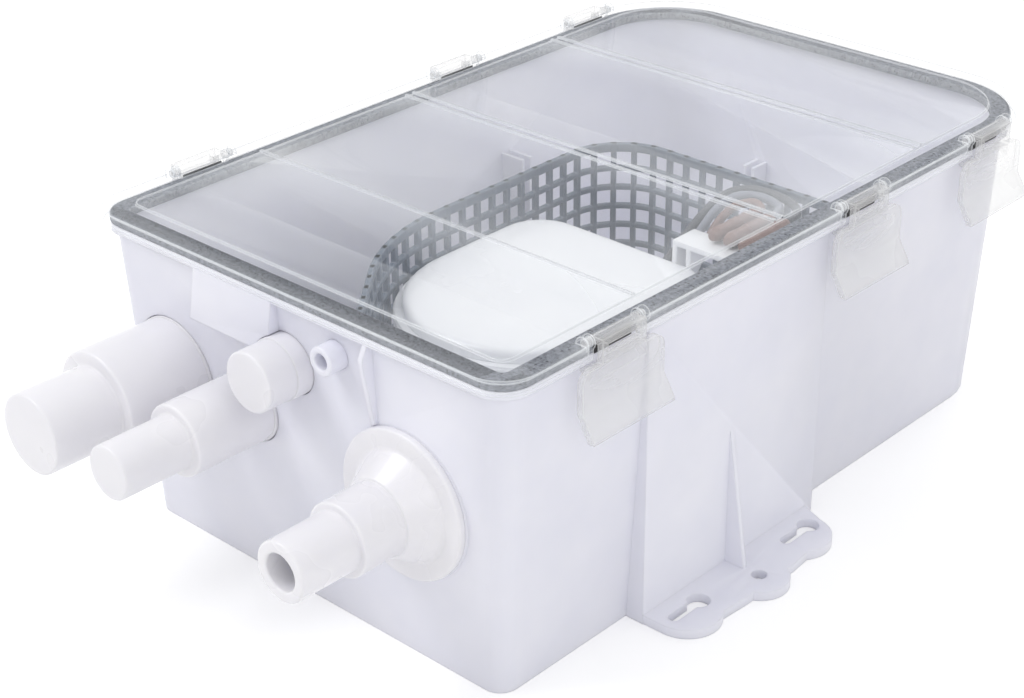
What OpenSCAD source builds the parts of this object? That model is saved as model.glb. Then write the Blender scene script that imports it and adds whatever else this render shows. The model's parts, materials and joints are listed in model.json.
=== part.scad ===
// Shower sump pump: a drafted box with a clear clip-down lid, an inner strainer
// fence, an automatic submersible pump, three blanked inlets and a valved outlet.
// Frame: origin at the centre of the box underside, +Z up, +Y away from the ports.

/* [Sump box] */
// Length of the box over its end walls, at the floor
box_l = 287; // [270:1:310]
// Width of the box over its side walls, at the floor
box_w = 171; // [166:1:190]
// Height from the underside to the top of the rim
box_h = 113.8; // [112:0.2:122]
// Lean of each side wall from floor to rim
side_lean = 6.9; // [5:0.1:8]
// Lean of each end wall from floor to rim
end_lean = 4.2; // [3:0.1:5]
// Thickness of the walls
wall = 2.5; // [2:0.1:3]
// Thickness of the floor
floor_t = 3; // [2.5:0.1:4]
// Corner radius at the port end, at the floor
front_r = 7; // [5:0.5:12]
// Corner radius at the plain end, at the floor
back_r = 27; // [20:0.5:34]
// How far the rim ledge stands out past the walls
rim_out = 2.1; // [1.8:0.1:2.6]
// Thickness of the rim ledge
rim_t = 3; // [2.5:0.1:3.4]

/* [Mounting feet] */
// Distance of the foot centre in front of the box centre
foot_y = 38; // [30:1:46]
// Length of the upright pad above each foot
pad_l = 95; // [90:1:100]
// Thickness of the foot flange
foot_t = 3.5; // [3:0.1:4.5]
// Radius of each rounded ear
ear_r = 12.4; // [12:0.1:14]
// Distance from the pad to the centres of the ears
ear_x = 8.2; // [7.8:0.1:10]
// Radius of the middle lobe
lobe_r = 11; // [10:0.1:12]
// Distance from the pad to the plain screw hole
hole_x = 14; // [13:0.1:16]
// Radius of the plain screw hole
hole_r = 2.75; // [2:0.05:3.5]
// Radius of the head entry of a keyhole
key_head_r = 4; // [3.5:0.05:4.5]
// Half width of the narrow slot of a keyhole
key_slot_r = 2.1; // [1.8:0.05:2.5]
// Distance from head entry to the end of the narrow slot
key_run = 13; // [11:0.5:15]

/* [Lid and gasket] */
// Compressed thickness of the foam gasket
gasket_t = 3; // [2:0.1:3.6]
// Width of the gasket band
gasket_w = 7.5; // [6.5:0.1:8.5]
// Thickness of the lid plate
lid_t = 2; // [1.8:0.1:2.6]
// Thickness of the lid skirt
skirt_t = 2; // [1.6:0.1:2.4]
// Height of the raised middle panel
panel_h = 0.8; // [0.5:0.1:1.2]
// Height of the stiffening ridges
ridge_h = 0.7; // [0.4:0.1:1]

/* [Snap clips] */
// Distance of the front pair of clips from the box centre
clip_front = 103; // [98:1:106]
// Distance of the middle pair of clips behind the box centre
clip_mid = 26; // [22:1:30]
// Distance of the rear pair of clips behind the box centre
clip_rear = 104.5; // [100:0.5:108]
// Width of the clip body
clip_w = 38; // [34:0.5:40]
// Width of the tongue that passes through the lid notch
tongue_w = 20; // [19:0.5:22]
// Width of the window in the tongue
window_w = 15; // [13:0.5:16]
// Thickness of the clip
clip_t = 2.2; // [1.8:0.1:2.6]
// Height of the clip from its lower edge to the hinge rod
clip_h = 29; // [26:0.5:31]
// How far the lower edge flares out
clip_flare = 4.5; // [3:0.1:6]
// Radius of the hinge rod
rod_r = 1.5; // [1.3:0.05:1.7]

/* [Inlet spigots] */
// Place of the large inlet across the box
large_x = 63.2; // [61:0.1:66]
// Height of the large inlet
large_z = 65.5; // [60:0.5:70]
// Radius of the body of the large inlet
large_r = 19.05; // [18:0.05:19.5]
// Radius of the tip of the large inlet
large_tip_r = 14.3; // [12:0.05:16]
// Place of the medium inlet across the box
medium_x = 24.4; // [23:0.1:25]
// Height of the medium inlet
medium_z = 66.1; // [60:0.5:70]
// Radius of the body of the medium inlet
medium_r = 12.7; // [11:0.05:13]
// Radius of the tip of the medium inlet
medium_tip_r = 9.525; // [8:0.025:10.5]
// Place of the small inlet across the box
small_x = 2; // [1:0.1:3]
// Height of the small inlet
small_z = 90; // [88:0.5:93]
// Radius of the small inlet
small_r = 10.5; // [9:0.05:11]
// How far the large body stands out
large_out = 34; // [28:0.5:40]
// How far the medium body stands out
medium_out = 32.5; // [28:0.5:40]
// How far the small inlet stands out
small_out = 17; // [12:0.5:22]
// Length of the narrower tip on the two larger inlets
tip_out = 26.5; // [20:0.5:30]
// Wall of the inlet spigots
spigot_wall = 2.2; // [1.8:0.1:2.8]

/* [Outlet] */
// Place of the outlet across the box
outlet_x = 48.8; // [47:0.1:50]
// Height of the outlet
outlet_z = 59; // [57:0.5:61]
// Radius of the outlet flange
flange_r = 26; // [24:0.1:28]
// Thickness of the outlet flange
flange_t = 2.5; // [2:0.1:3]
// Radius of the cone where it leaves the flange
cone_r = 19.5; // [18:0.1:21]
// Radius of the middle section, over its hose
mid_r = 12.7; // [12.3:0.05:13.2]
// Radius of the outlet tip
tip_r = 10.3; // [9:0.05:11]
// Radius of the outlet bore
outlet_bore_r = 6.3; // [5:0.05:7]
// Distance from the flange seat to the end of the cone
cone_out = 12; // [11:0.5:14]
// Distance from the flange seat to the end of the middle section
mid_out = 29; // [28:0.5:32]
// Distance from the flange seat to the mouth
mouth_out = 52; // [44:0.5:56]
// Radius of the threaded sleeve through the wall
sleeve_r = 14; // [13.6:0.1:15]

/* [Cable gland] */
// Place of the gland across the box
gland_x = 21; // [19.5:0.1:22.5]
// Height of the gland
gland_z = 101.5; // [100:0.1:103]
// Outer radius of the gland
gland_r = 5; // [4.4:0.05:5.4]
// Radius of the gland bore
gland_bore_r = 2.75; // [2:0.05:3.2]
// How far the gland stands out
gland_out = 7; // [5:0.5:9]

/* [Strainer fence] */
// Depth of the fence's top below the rim of the box
fence_low = 11.8; // [9.8:0.5:20.8]
// Thickness of the fence
fence_t = 2.2; // [1.8:0.1:2.6]
// Place where the fence meets the port wall
fence_front_x = 19; // [17:0.5:21]
// Distance of the long run to the left of the centre
fence_side_x = 31; // [30:0.5:36]
// Place of the rear run behind the centre
fence_rear_y = 46.5; // [44:0.5:60]
// Distance of the front bend in front of the centre
fence_bend_y = 78; // [74:0.5:82]
// Radius of the front bend
fence_front_r = 80; // [60:1:84]
// Radius of the rear bend
fence_rear_r = 24; // [18:0.5:28]
// Pitch of the grid
fence_pitch = 7.7; // [7.2:0.1:10]
// Width of each bar of the grid
fence_bar = 2.1; // [1.7:0.1:2.6]

/* [Pump] */
// Place of the pump axis across the box
pump_x = 20; // [19:0.5:21]
// Distance of the pump axis in front of the centre
pump_y = 58; // [56:0.5:60]
// Radius of the round front of the pump
pump_r = 46.5; // [46:0.1:47]
// Distance from the pump axis to its flat back
pump_back = 55; // [54:0.5:57]
// Radius of the corners of the flat back
pump_corner = 20; // [17:0.5:22]
// Overall height of the pump
pump_h = 87; // [85:0.5:90]
// Wall of the pump housing
pump_wall = 2.4; // [2:0.1:2.8]
// Height of the strainer base
strainer_h = 18; // [16:0.5:20]
// Height of the volute section
volute_h = 20; // [19:0.5:22]
// Radius of the volute chamber
chamber_r = 24; // [23:0.1:25]
// Radius of the impeller
impeller_r = 21; // [19:0.1:22]
// Radius of the motor can
can_r = 27; // [25:0.1:28]
// Height of the motor can
can_h = 35; // [33:0.5:36]
// Radius of the motor shaft
shaft_r = 1.6; // [1.4:0.05:2]
// Outer radius of the pump nozzle
nozzle_r = 9.5; // [9:0.1:10]
// Radius of the pump nozzle bore
nozzle_bore_r = 6.5; // [5.5:0.1:7]

/* [Float] */
// Width of the float
float_w = 36; // [32:0.5:38]
// Height of the float
float_h = 18; // [15:0.5:20]
// Thickness of the float
float_t = 10; // [8:0.5:11]
// Radius of the float pin
float_pin_r = 1.5; // [1.2:0.05:1.8]

/* [Pump leads] */
// Diameter of each pump lead
lead_d = 3.2; // [2.8:0.1:3.4]
// Diameter of the sleeved butt connectors
connector_d = 5.4; // [5:0.1:5.8]
// Length of the sleeved butt connectors
connector_l = 26; // [22:0.5:28]

/* [Hidden] */
$fn = 64;
over = 1;
fit = 0.05;
gap = 0.3;
edge = 0.8;

// Walls at any height
function half_w(z) = box_w/2 + side_lean*z/box_h;
function half_l(z) = box_l/2 + end_lean*z/box_h;
function plan_front_r(z) = front_r + end_lean/2*z/box_h;
function plan_back_r(z) = back_r + side_lean*z/box_h;

rim_hw = half_w(box_h) + rim_out;
rim_hl = half_l(box_h) + rim_out;
rim_under = box_h - rim_t;
rim_front_r = plan_front_r(box_h) + rim_out;
rim_back_r = plan_back_r(box_h) + rim_out;

// Feet
pad_x = half_w(box_h) + wall/6;
pad_half = pad_l/2;
pad_mid_y = -foot_y + wall;
ear_front_y = -foot_y - 2.6*ear_r;
ear_back_y = -foot_y + 2.4*ear_r;
rib_t = 2;
gusset_h = 52;
gusset_out = 8;

// Lid
skirt_gap = 0.5;
lid_hw = rim_hw + skirt_gap + skirt_t;
lid_hl = rim_hl + skirt_gap + skirt_t;
lid_front_r = rim_front_r + skirt_gap + skirt_t;
lid_back_r = rim_back_r + skirt_gap + skirt_t;
lid_under = box_h + gasket_t;
lid_top = lid_under + lid_t;
skirt_lap = 0.4;
panel_in = gasket_w + 0.8;
ridge_w = 1.2;
ridge_step = 4;
// Places of the ridges, as shares of half the lid length: front, middle, rear
ridge_shares = [-0.545, -0.056, 0.486];

// Clips hinge on a rod in two ears at the ends of each notch
notch_w = tongue_w + 2;
ear_len = 3.2;
socket = ear_len - edge;
ear_out_r = rod_r + 1.1;
rod_x = lid_hw - 1.8;
rod_z = lid_top + 0.2;
notch_x = rod_x - rod_r - gap;
clip_in = lid_hw + 0.6;
clip_low = rod_z - clip_h;
flare_z = clip_low + 8.6;
shoulder_z = box_h - 1.3;
window_z = rod_z + rod_r - clip_t;
window_h = 2.8;
barb_w = 26;
barb_h = 2.4;
barb_in = rim_hw - 1.3;
CLIPS = [-clip_front, clip_mid, clip_rear];

// Port wall bosses give each fitting an upright seat
boss_y = -half_l(0) + wall + 2.6;
seal_t = 1.5;
collar_t = 2.6;
collar_out = 3.2;
root_rise = edge/2;
hose_room = 5;
seat_y = -half_l(outlet_z + flange_r) - gap;

// Port wall details
fin_x = 36.5;
fin_low = 74.5;
fin_top = 105;
fin_out = 4.5;
hood_x = 25;
hood_w = clip_w;
hood_low = 94;
hood_out = 3;

// Outlet inner parts
valve_seat_out = 6;
plug_r = 11;
chamber_valve_r = 10.2;
chamber_out = 26;
sleeve_in = 17;
nut_t = 6;
nut_r = sleeve_r + 5;
tail_collar_t = 2;
tail_end = 13;
tail_y = seat_y + sleeve_in;
valve_axis_z = 8;
valve_axis_out = valve_seat_out + 1.6;
valve_pin_r = 0.75;
valve_ear_r = valve_pin_r + edge/2;
ear_web_share = 0.8;
flap_r = 6.9;
flap_t = 1.4;

// Fence route: a slanted front run, a bend, the long run, a bend and the rear run
fence_z = floor_t;
fence_gap = 0.4;
fence_start = [fence_front_x, -half_l(0) + wall + fence_gap + fence_t/2];
fence_bend1 = [-fence_side_x, -fence_bend_y];
fence_end = [half_w(0) - wall - fence_gap, fence_rear_y];
slant = atan2(fence_bend1[1] - fence_start[1], fence_bend1[0] - fence_start[0]);
turn1 = slant - 90;
cut1 = fence_front_r*tan(turn1/2);
fence_path = concat([fence_start],
    bend([-fence_side_x + fence_front_r, -fence_bend_y + cut1], fence_front_r, 180 + turn1, 180),
    bend([-fence_side_x + fence_rear_r, fence_rear_y - fence_rear_r], fence_rear_r, 180, 90),
    [fence_end]);
fence_rim = 3.4;
fence_end_in = fence_bar/4;
post_proud = 0.15;
fence_h = box_h - fence_z - fence_low;
fence_rows = round((fence_h - 2*fence_rim)/fence_pitch);
row_pitch = (fence_h - 2*fence_rim + fence_bar)/fence_rows;
channel_t = 1.6;
channel_in = 6;
channel_back = 4*fence_t;
front_channel_h = small_z - small_r - collar_out - fence_z;
side_channel_h = 77;
back_channel_h = 58;

// Pump levels
pump_z0 = floor_t;
volute_z = pump_z0 + strainer_h;
body_z = volute_z + volute_h;
cap_h = 5;
step_z = pump_z0 + pump_h - cap_h;
pump_top = pump_z0 + pump_h;
px = pump_x;
py = -pump_y;
step_in = 3;
dome_in = 8;
chamber_z0 = volute_z + 3;
chamber_z1 = body_z - 5;
impeller_z0 = chamber_z0 + 1;
impeller_z1 = chamber_z1 - 1;
riser_x = outlet_x;
riser_y = py - 28;
riser_r = nozzle_r + 1.5;
riser_top = outlet_z + nozzle_r + 2*edge;
nozzle_end = seat_y + sleeve_in + tail_collar_t + tail_end + 3;
can_z0 = body_z;
can_z1 = can_z0 + can_h;
can_wall = 1.6;
magnet_t = 3.4;
armature_r = can_r - can_wall - magnet_t - 1;
shaft_z0 = impeller_z0 + 1;
shaft_z1 = can_z1 - can_wall - 1;
post_r = 4;
screw_r = 2;
screw_head_r = 3.6;
// Places of the base screws from the pump axis, as shares of the pump radius
screw_shares = [[-0.645, 0], [0.645, 0], [0, 0.86]];

// Float, hung on a pin across the back chamber
float_y = py + pump_back - pump_wall - 4 - float_t;
float_px = px + 22;
float_pz = volute_z + 31;
float_x0 = px - 30;
float_z0 = body_z + 3;
lug_t = 2;

// Leads
lead_z = step_z - 6;
lead_x = px + 12;
lead_step = 5.4;
grommet_out = 4;
lead_y0 = py + pump_back - pump_wall;
guide_x = px + 20;
guide_y = py + pump_back - step_in + gap;
guide_w = 28;
guide_rib_step = 6;
guide_out = 12;
guide_top = 97;

// Small shared values
post_h = 5;
base_plate_t = 2;
slot_z = pump_z0 + post_h + base_plate_t + edge;
slot_h = 7;
slot_w = 3.6;
slot_turn = 12;
slot_side_pitch = 9;
slot_side_count = 3;
eye_r = 9;
seal_r = 5;
vane_t = 1.6;
armature_z = can_z0 + 4;
armature_h = 24;
bridge_z = float_pz + 14;
inner_back = py + pump_back - pump_wall;
switch_w = 15;
switch_h = 11;
collar_y = boss_y + seal_t + collar_t;
valve_ear_x = 2.2;
valve_ear_t = 1.7;
hose_wall = 3;
hose_y0 = tail_y + tail_collar_t + gap;
hose_grip = 9;
hose_y1 = nozzle_end + hose_grip;
clamp_w = 8;
clamp_t = 0.9;

// Routes of the pump leads, from the grommet to the connectors
dark_route = [[26.6, -2, 79], [26.6, 4, 79], [26.6, 6, 79], [26.8, 13, 82.5], [27.4, 22, 89], [29, 31, 95],
    [33, 38, 99], [40, 42.4, 100], [50, 43, 100], [58.6, 40, 100], [64, 34, 100], [65.4, 26, 100]];
grey_route = [[32, -2, 79], [32, 4, 79], [32, 6, 79], [32, 12, 82.5], [32.2, 20, 89], [33, 28, 95],
    [36.5, 34.6, 99], [43, 38, 100], [50, 38, 100], [56, 34.6, 100], [59, 26, 100]];
brown_route = [[37.4, -2, 79], [37.4, 4, 79], [37.4, 6, 79], [37.5, 11, 82], [37.8, 17, 88], [38.4, 23, 94],
    [40.4, 29, 98], [45.6, 32.6, 100], [50.6, 31, 100], [52.6, 26, 100]];

module plan(w, l, rf, rb) {
    polygon([[-w/2 + rf, -l/2], [w/2 - rf, -l/2], [w/2, -l/2 + rf], [w/2, l/2 - rb],
        [w/2 - rb, l/2], [-w/2 + rb, l/2], [-w/2, l/2 - rb], [-w/2, -l/2 + rf]]);
    for (s = [-1, 1]) {
        translate([s*(w/2 - rf), -l/2 + rf]) circle(rf);
        translate([s*(w/2 - rb), l/2 - rb]) circle(rb);
    }
}

module tub_slab(z, inset, h) {
    translate([0, 0, z]) linear_extrude(h)
        plan(2*(half_w(z) - inset), 2*(half_l(z) - inset),
            max(plan_front_r(z) - inset, wall), plan_back_r(z) - inset, $fn = 32);
}

module tub(inset, z0, z1) {
    hull() {
        tub_slab(z0, inset, wall/10);
        tub_slab(z1 - wall/10, inset, wall/10);
    }
}

// Turns a piece so that its +Z points out of the port wall
module facing_out(x, y, z) {
    translate([x, y, z]) rotate([90, 0, 0]) children();
}

// Turns a piece so that its +Z points away from the port wall
module facing_in(x, y, z) {
    translate([x, y, z]) rotate([-90, 0, 0]) children();
}

module ring(r_out, r_in, h) {
    difference() {
        cylinder(h = h, r = r_out);
        translate([0, 0, -over]) cylinder(h = h + 2*over, r = r_in);
    }
}

module foot_plan() {
    translate([pad_x + ear_x, ear_front_y]) circle(ear_r);
    translate([pad_x + ear_x, ear_back_y]) circle(ear_r);
    translate([pad_x + hole_x - gap, -foot_y]) circle(lobe_r);
    polygon([[half_w(0) - wall, pad_mid_y - pad_half], [pad_x + ear_x, ear_front_y - ear_r],
        [pad_x + ear_x + ear_r*0.8, ear_front_y + ear_r*0.6],
        [pad_x + hole_x + lobe_r*0.45, -foot_y - lobe_r*1.2],
        [pad_x + hole_x + lobe_r*0.45, -foot_y + lobe_r*1.2],
        [pad_x + ear_x + ear_r*0.8, ear_back_y - ear_r*0.6],
        [pad_x + ear_x + ear_r*0.6, ear_back_y + ear_r*0.8],
        [half_w(0) - wall, pad_mid_y + pad_half]]);
}

module keyhole(y) {
    translate([pad_x + ear_x, y, -over]) {
        cylinder(h = foot_t + 2*over, r = key_head_r);
        translate([0, -key_run, 0]) cylinder(h = foot_t + 2*over, r = key_slot_r);
        translate([-key_slot_r, -key_run, 0]) cube([2*key_slot_r, key_run, foot_t + 2*over]);
    }
}

// Section of the pad: upright outer face, leaning wall behind it
module pad_section(inset) {
    polygon([[half_w(0) - wall + inset, -inset], [pad_x - inset, -inset],
        [pad_x - inset, rim_under - inset], [half_w(rim_under) - wall + inset, rim_under - inset]]);
}

module pad_prism(y0, len, inset) {
    translate([0, y0 + len, 0]) rotate([90, 0, 0]) linear_extrude(len) pad_section(inset);
}

module foot_solid() {
    linear_extrude(foot_t) foot_plan();
    pad_prism(pad_mid_y - pad_half, pad_l, 0);
    translate([0, -foot_y + rib_t/2, 0]) rotate([90, 0, 0]) linear_extrude(rib_t)
        polygon([[pad_x - wall, foot_t - rib_t], [pad_x + gusset_out, foot_t - rib_t],
            [pad_x + gusset_out, foot_t], [pad_x, foot_t + gusset_h], [pad_x - wall, foot_t + gusset_h]]);
}

module foot_cuts() {
    keyhole(ear_front_y + key_run/2);
    keyhole(ear_back_y + key_run/2);
    translate([pad_x + hole_x, -foot_y, -over]) cylinder(h = foot_t + 2*over, r = hole_r);
    // Coring of the pad from below, on both sides of the gusset
    for (s = [-1, 1])
        translate([0, pad_mid_y + s*pad_half/2 + (pad_half - 3*rib_t)/2, -over])
            rotate([90, 0, 0]) linear_extrude(pad_half - 3*rib_t)
                polygon([[half_w(0), 0], [pad_x - wall, 0], [pad_x - wall, rim_under*0.6]]);
}

// Small rib that props the rim ledge on the port wall
module fin() {
    translate([fin_x - rib_t/2, 0, 0]) rotate([90, 0, 90]) linear_extrude(rib_t)
        polygon([[-half_l(fin_low), fin_low], [-half_l(fin_top) - fin_out, fin_top],
            [-half_l(fin_top) - fin_out, rim_under - 2*rib_t], [-rim_hl, rim_under],
            [-half_l(rim_under) + wall/2, rim_under], [-half_l(fin_low) + wall/2, fin_low]]);
}

// Hood under the rim of the port wall
module hood() {
    top = [-rim_hl, rim_under + rim_t/2];
    low = [-rim_hl - hood_out, hood_low];
    translate([-hood_x - hood_w/2, 0, 0]) rotate([90, 0, 90]) linear_extrude(hood_w)
        polygon([top, low, [low[0] + clip_t, low[1]],
            [top[0] + clip_t, rim_under - clip_t], [top[0] + clip_t, top[1]]]);
    for (s = [-1, 1])
        translate([-hood_x + s*(hood_w - rib_t)/2 - rib_t/2, 0, 0]) rotate([90, 0, 90]) linear_extrude(rib_t)
            polygon([top, low, [low[0] + clip_t, low[1]], [-half_l(hood_low) + wall/2, hood_low + 3*clip_t],
                [-half_l(rim_under) + wall/2, rim_under]]);
}

module wall_boss(x, z, r) {
    facing_out(x, boss_y, z) cylinder(h = boss_y + half_l(z) - wall/2, r = r);
}

// Channel that holds one end of the fence, along the given direction
module fence_channel(at, angle, h) {
    translate([at[0], at[1], fence_z - wall/2]) rotate([0, 0, angle]) for (s = [-1, 1])
        translate([-channel_back, s*(fence_t/2 + fence_gap + channel_t/2) - channel_t/2, 0])
            cube([channel_back + channel_in, channel_t, h]);
}

module screw_places() {
    for (p = screw_shares*pump_r) translate([px + p[0], py + p[1], 0]) children();
}

module sump_box() color([0.93, 0.94, 0.96, 0.85]) {
    difference() {
        union() {
            difference() {
                union() {
                    tub(0, 0, rim_under + wall/2);
                    translate([0, 0, rim_under]) linear_extrude(rim_t)
                        plan(2*rim_hw, 2*rim_hl, rim_front_r, rim_back_r);
                    for (s = [0, 1]) mirror([s, 0, 0]) foot_solid();
                    fin();
                    hood();
                }
                tub(wall, floor_t, box_h + over);
            }
            intersection() {
                union() {
                    wall_boss(-large_x, large_z, large_r + collar_out);
                    wall_boss(-medium_x, medium_z, medium_r + collar_out);
                    wall_boss(-small_x, small_z, small_r + collar_out);
                    wall_boss(outlet_x, outlet_z, nut_r);
                    fence_channel(fence_start, slant, front_channel_h);
                    fence_channel(fence_end, 180, side_channel_h);
                    fence_channel([-fence_end[0], fence_rear_y], 0, side_channel_h);
                    fence_channel([-fence_side_x, half_l(0) - wall - fence_gap], -90, back_channel_h);
                    screw_places() cylinder(h = floor_t + post_h, r = post_r);
                }
                tub(wall/2, 0, rim_under);
            }
            facing_out(outlet_x, -half_l(outlet_z) + wall/2, outlet_z)
                cylinder(h = -seat_y - half_l(outlet_z) + wall/2, r = flange_r);
        }
        facing_out(-large_x, 0, large_z) cylinder(h = box_l, r = large_r + root_rise + gap);
        facing_out(-medium_x, 0, medium_z) cylinder(h = box_l, r = medium_r + root_rise + gap);
        facing_out(-small_x, 0, small_z) cylinder(h = box_l, r = small_r + root_rise + gap);
        facing_out(outlet_x, 0, outlet_z) cylinder(h = box_l, r = sleeve_r + gap);
        facing_out(outlet_x, seat_y, outlet_z) cylinder(h = flange_t + over, r = flange_r + gap);
        facing_out(gland_x, 0, gland_z) cylinder(h = box_l, r = gland_r + fit);
        screw_places() translate([0, 0, floor_t/2]) cylinder(h = post_h + 2*floor_t, r = screw_r + fit);
        for (s = [0, 1]) mirror([s, 0, 0]) foot_cuts();
    }
}

module lid_gasket() color([0.35, 0.36, 0.38])
    translate([0, 0, box_h]) linear_extrude(gasket_t) difference() {
        plan(2*rim_hw, 2*rim_hl, rim_front_r, rim_back_r);
        plan(2*(rim_hw - gasket_w), 2*(rim_hl - gasket_w), wall, rim_back_r - gasket_w);
    }

module lid_notch(s, y) {
    translate([s > 0 ? notch_x : -notch_x - notch_w, y - notch_w/2, box_h - 2*skirt_lap])
        cube([notch_w, notch_w, gasket_t + 2*lid_t]);
}

module lid() color([0.85, 0.9, 0.95, 0.35]) difference() {
    union() {
        difference() {
            union() {
                translate([0, 0, lid_under]) linear_extrude(lid_t)
                    plan(2*lid_hw, 2*lid_hl, lid_front_r, lid_back_r);
                translate([0, 0, box_h - skirt_lap]) linear_extrude(gasket_t + skirt_lap + lid_t/2) difference() {
                    plan(2*lid_hw, 2*lid_hl, lid_front_r, lid_back_r);
                    plan(2*(lid_hw - skirt_t), 2*(lid_hl - skirt_t), lid_front_r - skirt_t, lid_back_r - skirt_t);
                }
                translate([0, 0, lid_top]) linear_extrude(panel_h)
                    plan(2*(rim_hw - panel_in), 2*(rim_hl - panel_in), 2*wall, rim_back_r - panel_in);
                for (k = [0:2]) ridge_row(ridge_shares[k]*lid_hl, k == 0 ? 1 : 2);
            }
            for (s = [-1, 1], y = CLIPS) lid_notch(s, y);
        }
        for (s = [-1, 1], y = CLIPS) lid_ears(s, y);
    }
    for (s = [-1, 1], y = CLIPS) translate([s*rod_x, y, rod_z]) rotate([90, 0, 0])
        cylinder(h = notch_w + 2*socket, r = rod_r + fit, center = true);
}

module ridge_row(y, count) {
    for (k = [0:count - 1])
        translate([-(rim_hw - panel_in), y + (k - (count - 1)/2)*ridge_step - ridge_w/2, lid_top + panel_h/2])
            cube([2*(rim_hw - panel_in), ridge_w, panel_h/2 + ridge_h]);
}

// Two ears at the ends of a notch that hold the hinge rod
module lid_ears(s, y) {
    for (e = [-1, 1]) translate([s*rod_x, y + e*(notch_w + ear_len)/2, rod_z]) difference() {
        rotate([90, 0, 0]) cylinder(h = ear_len, r = ear_out_r, center = true);
        translate([-ear_out_r - over, -ear_len/2 - over, lid_under - rod_z - 2*ear_out_r])
            cube([2*ear_out_r + 2*over, ear_len + 2*over, 2*ear_out_r]);
    }
}

// Clip for one side and place: rod, windowed tongue, wide body, flared lip and barb
module clip(s, y) color([0.82, 0.84, 0.87, 0.8])
    translate([0, y, 0]) mirror([s > 0 ? 0 : 1, 0, 0]) {
        translate([rod_x, 0, rod_z]) rotate([90, 0, 0])
            cylinder(h = notch_w + 2*socket - 2*gap, r = rod_r, center = true);
        difference() {
            union() {
                translate([rod_x, -tongue_w/2, rod_z + rod_r - clip_t])
                    cube([clip_in + clip_t - rod_x, tongue_w, clip_t]);
                translate([clip_in, -tongue_w/2, shoulder_z - clip_t])
                    cube([clip_t, tongue_w, rod_z + rod_r - shoulder_z + clip_t]);
            }
            translate([clip_in - over, -window_w/2, window_z - window_h])
                cube([clip_t + 2*over, window_w, window_h]);
        }
        translate([clip_in, 0, flare_z]) rotate([90, 0, 90]) linear_extrude(clip_t)
            plate_face(shoulder_z - flare_z, clip_w/8);
        rotate([90, 0, 0]) translate([0, 0, -clip_w/2]) linear_extrude(clip_w)
            polygon([[clip_in, flare_z], [clip_in + clip_t, flare_z],
                [clip_in + clip_t + clip_flare, clip_low + clip_t/2],
                [clip_in + clip_t + clip_flare, clip_low], [clip_in + clip_flare, clip_low]]);
        translate([0, barb_w/2, 0]) rotate([90, 0, 0]) linear_extrude(barb_w)
            polygon([[clip_in + clip_t/2, rim_under - gap], [barb_in, rim_under - gap],
                [barb_in, rim_under - gap - barb_h/2], [clip_in + clip_t/2, rim_under - gap - 2*barb_h]]);
    }

// Upright face of a clip with rounded shoulders
module plate_face(h, r) {
    translate([-clip_w/2, 0]) square([clip_w, h - r]);
    translate([-clip_w/2 + r, 0]) square([clip_w - 2*r, h]);
    for (e = [-1, 1]) translate([e*(clip_w/2 - r), h - r]) circle(r);
}

// End of a shank: clear of the wall all round a hose on the body
function root_end(z, r) = half_l(z + r + hose_room) + gap;

// Blanked inlet: an inner collar, a shank through the wall, a body and a narrower closed tip
module spigot(x, z, r, out, r_tip, tip, root) {
    len = collar_y + half_l(z) + out;
    facing_out(x, collar_y, z) color([0.95, 0.94, 0.95]) difference() {
        union() {
            cylinder(h = collar_t, r = r + collar_out);
            cylinder(h = collar_y + root, r = r + root_rise);
            cylinder(h = len - edge, r = r);
            translate([0, 0, len - edge]) cylinder(h = edge, r1 = r, r2 = r - edge);
            cylinder(h = len + tip - edge, r = r_tip);
            translate([0, 0, len + tip - edge]) cylinder(h = edge, r1 = r_tip, r2 = r_tip - edge);
        }
        translate([0, 0, -over]) cylinder(h = len - spigot_wall + over, r = r - spigot_wall);
        translate([0, 0, -over]) cylinder(h = len + tip - spigot_wall + over, r = r_tip - spigot_wall);
    }
}

module inlet_spigot_large()
    spigot(-large_x, large_z, large_r, large_out, large_tip_r, tip_out, root_end(large_z, large_r));

module inlet_spigot_medium()
    spigot(-medium_x, medium_z, medium_r, medium_out, medium_tip_r, tip_out, root_end(medium_z, medium_r));

// The small shank reaches past the hood beside it
module inlet_spigot_small()
    spigot(-small_x, small_z, small_r, small_out, small_r - edge, edge, rim_hl + hood_out + gap);

module inlet_seals() color([0.2, 0.2, 0.21])
    for (p = [[large_x, large_z, large_r], [medium_x, medium_z, medium_r], [small_x, small_z, small_r]])
        facing_out(-p[0], boss_y + seal_t, p[1]) ring(p[2] + collar_out - gap, p[2] + root_rise + gap, seal_t);

module cable_gland() {
    inner = -half_l(gland_z) + wall + gap;
    color([0.9, 0.9, 0.91]) facing_out(gland_x, inner + collar_t, gland_z) difference() {
        union() {
            cylinder(h = collar_t, r = gland_r + collar_t);
            cylinder(h = collar_t + gap + wall + gland_out, r = gland_r);
        }
        translate([0, 0, -over]) cylinder(h = box_l, r = gland_bore_r);
    }
}

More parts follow.
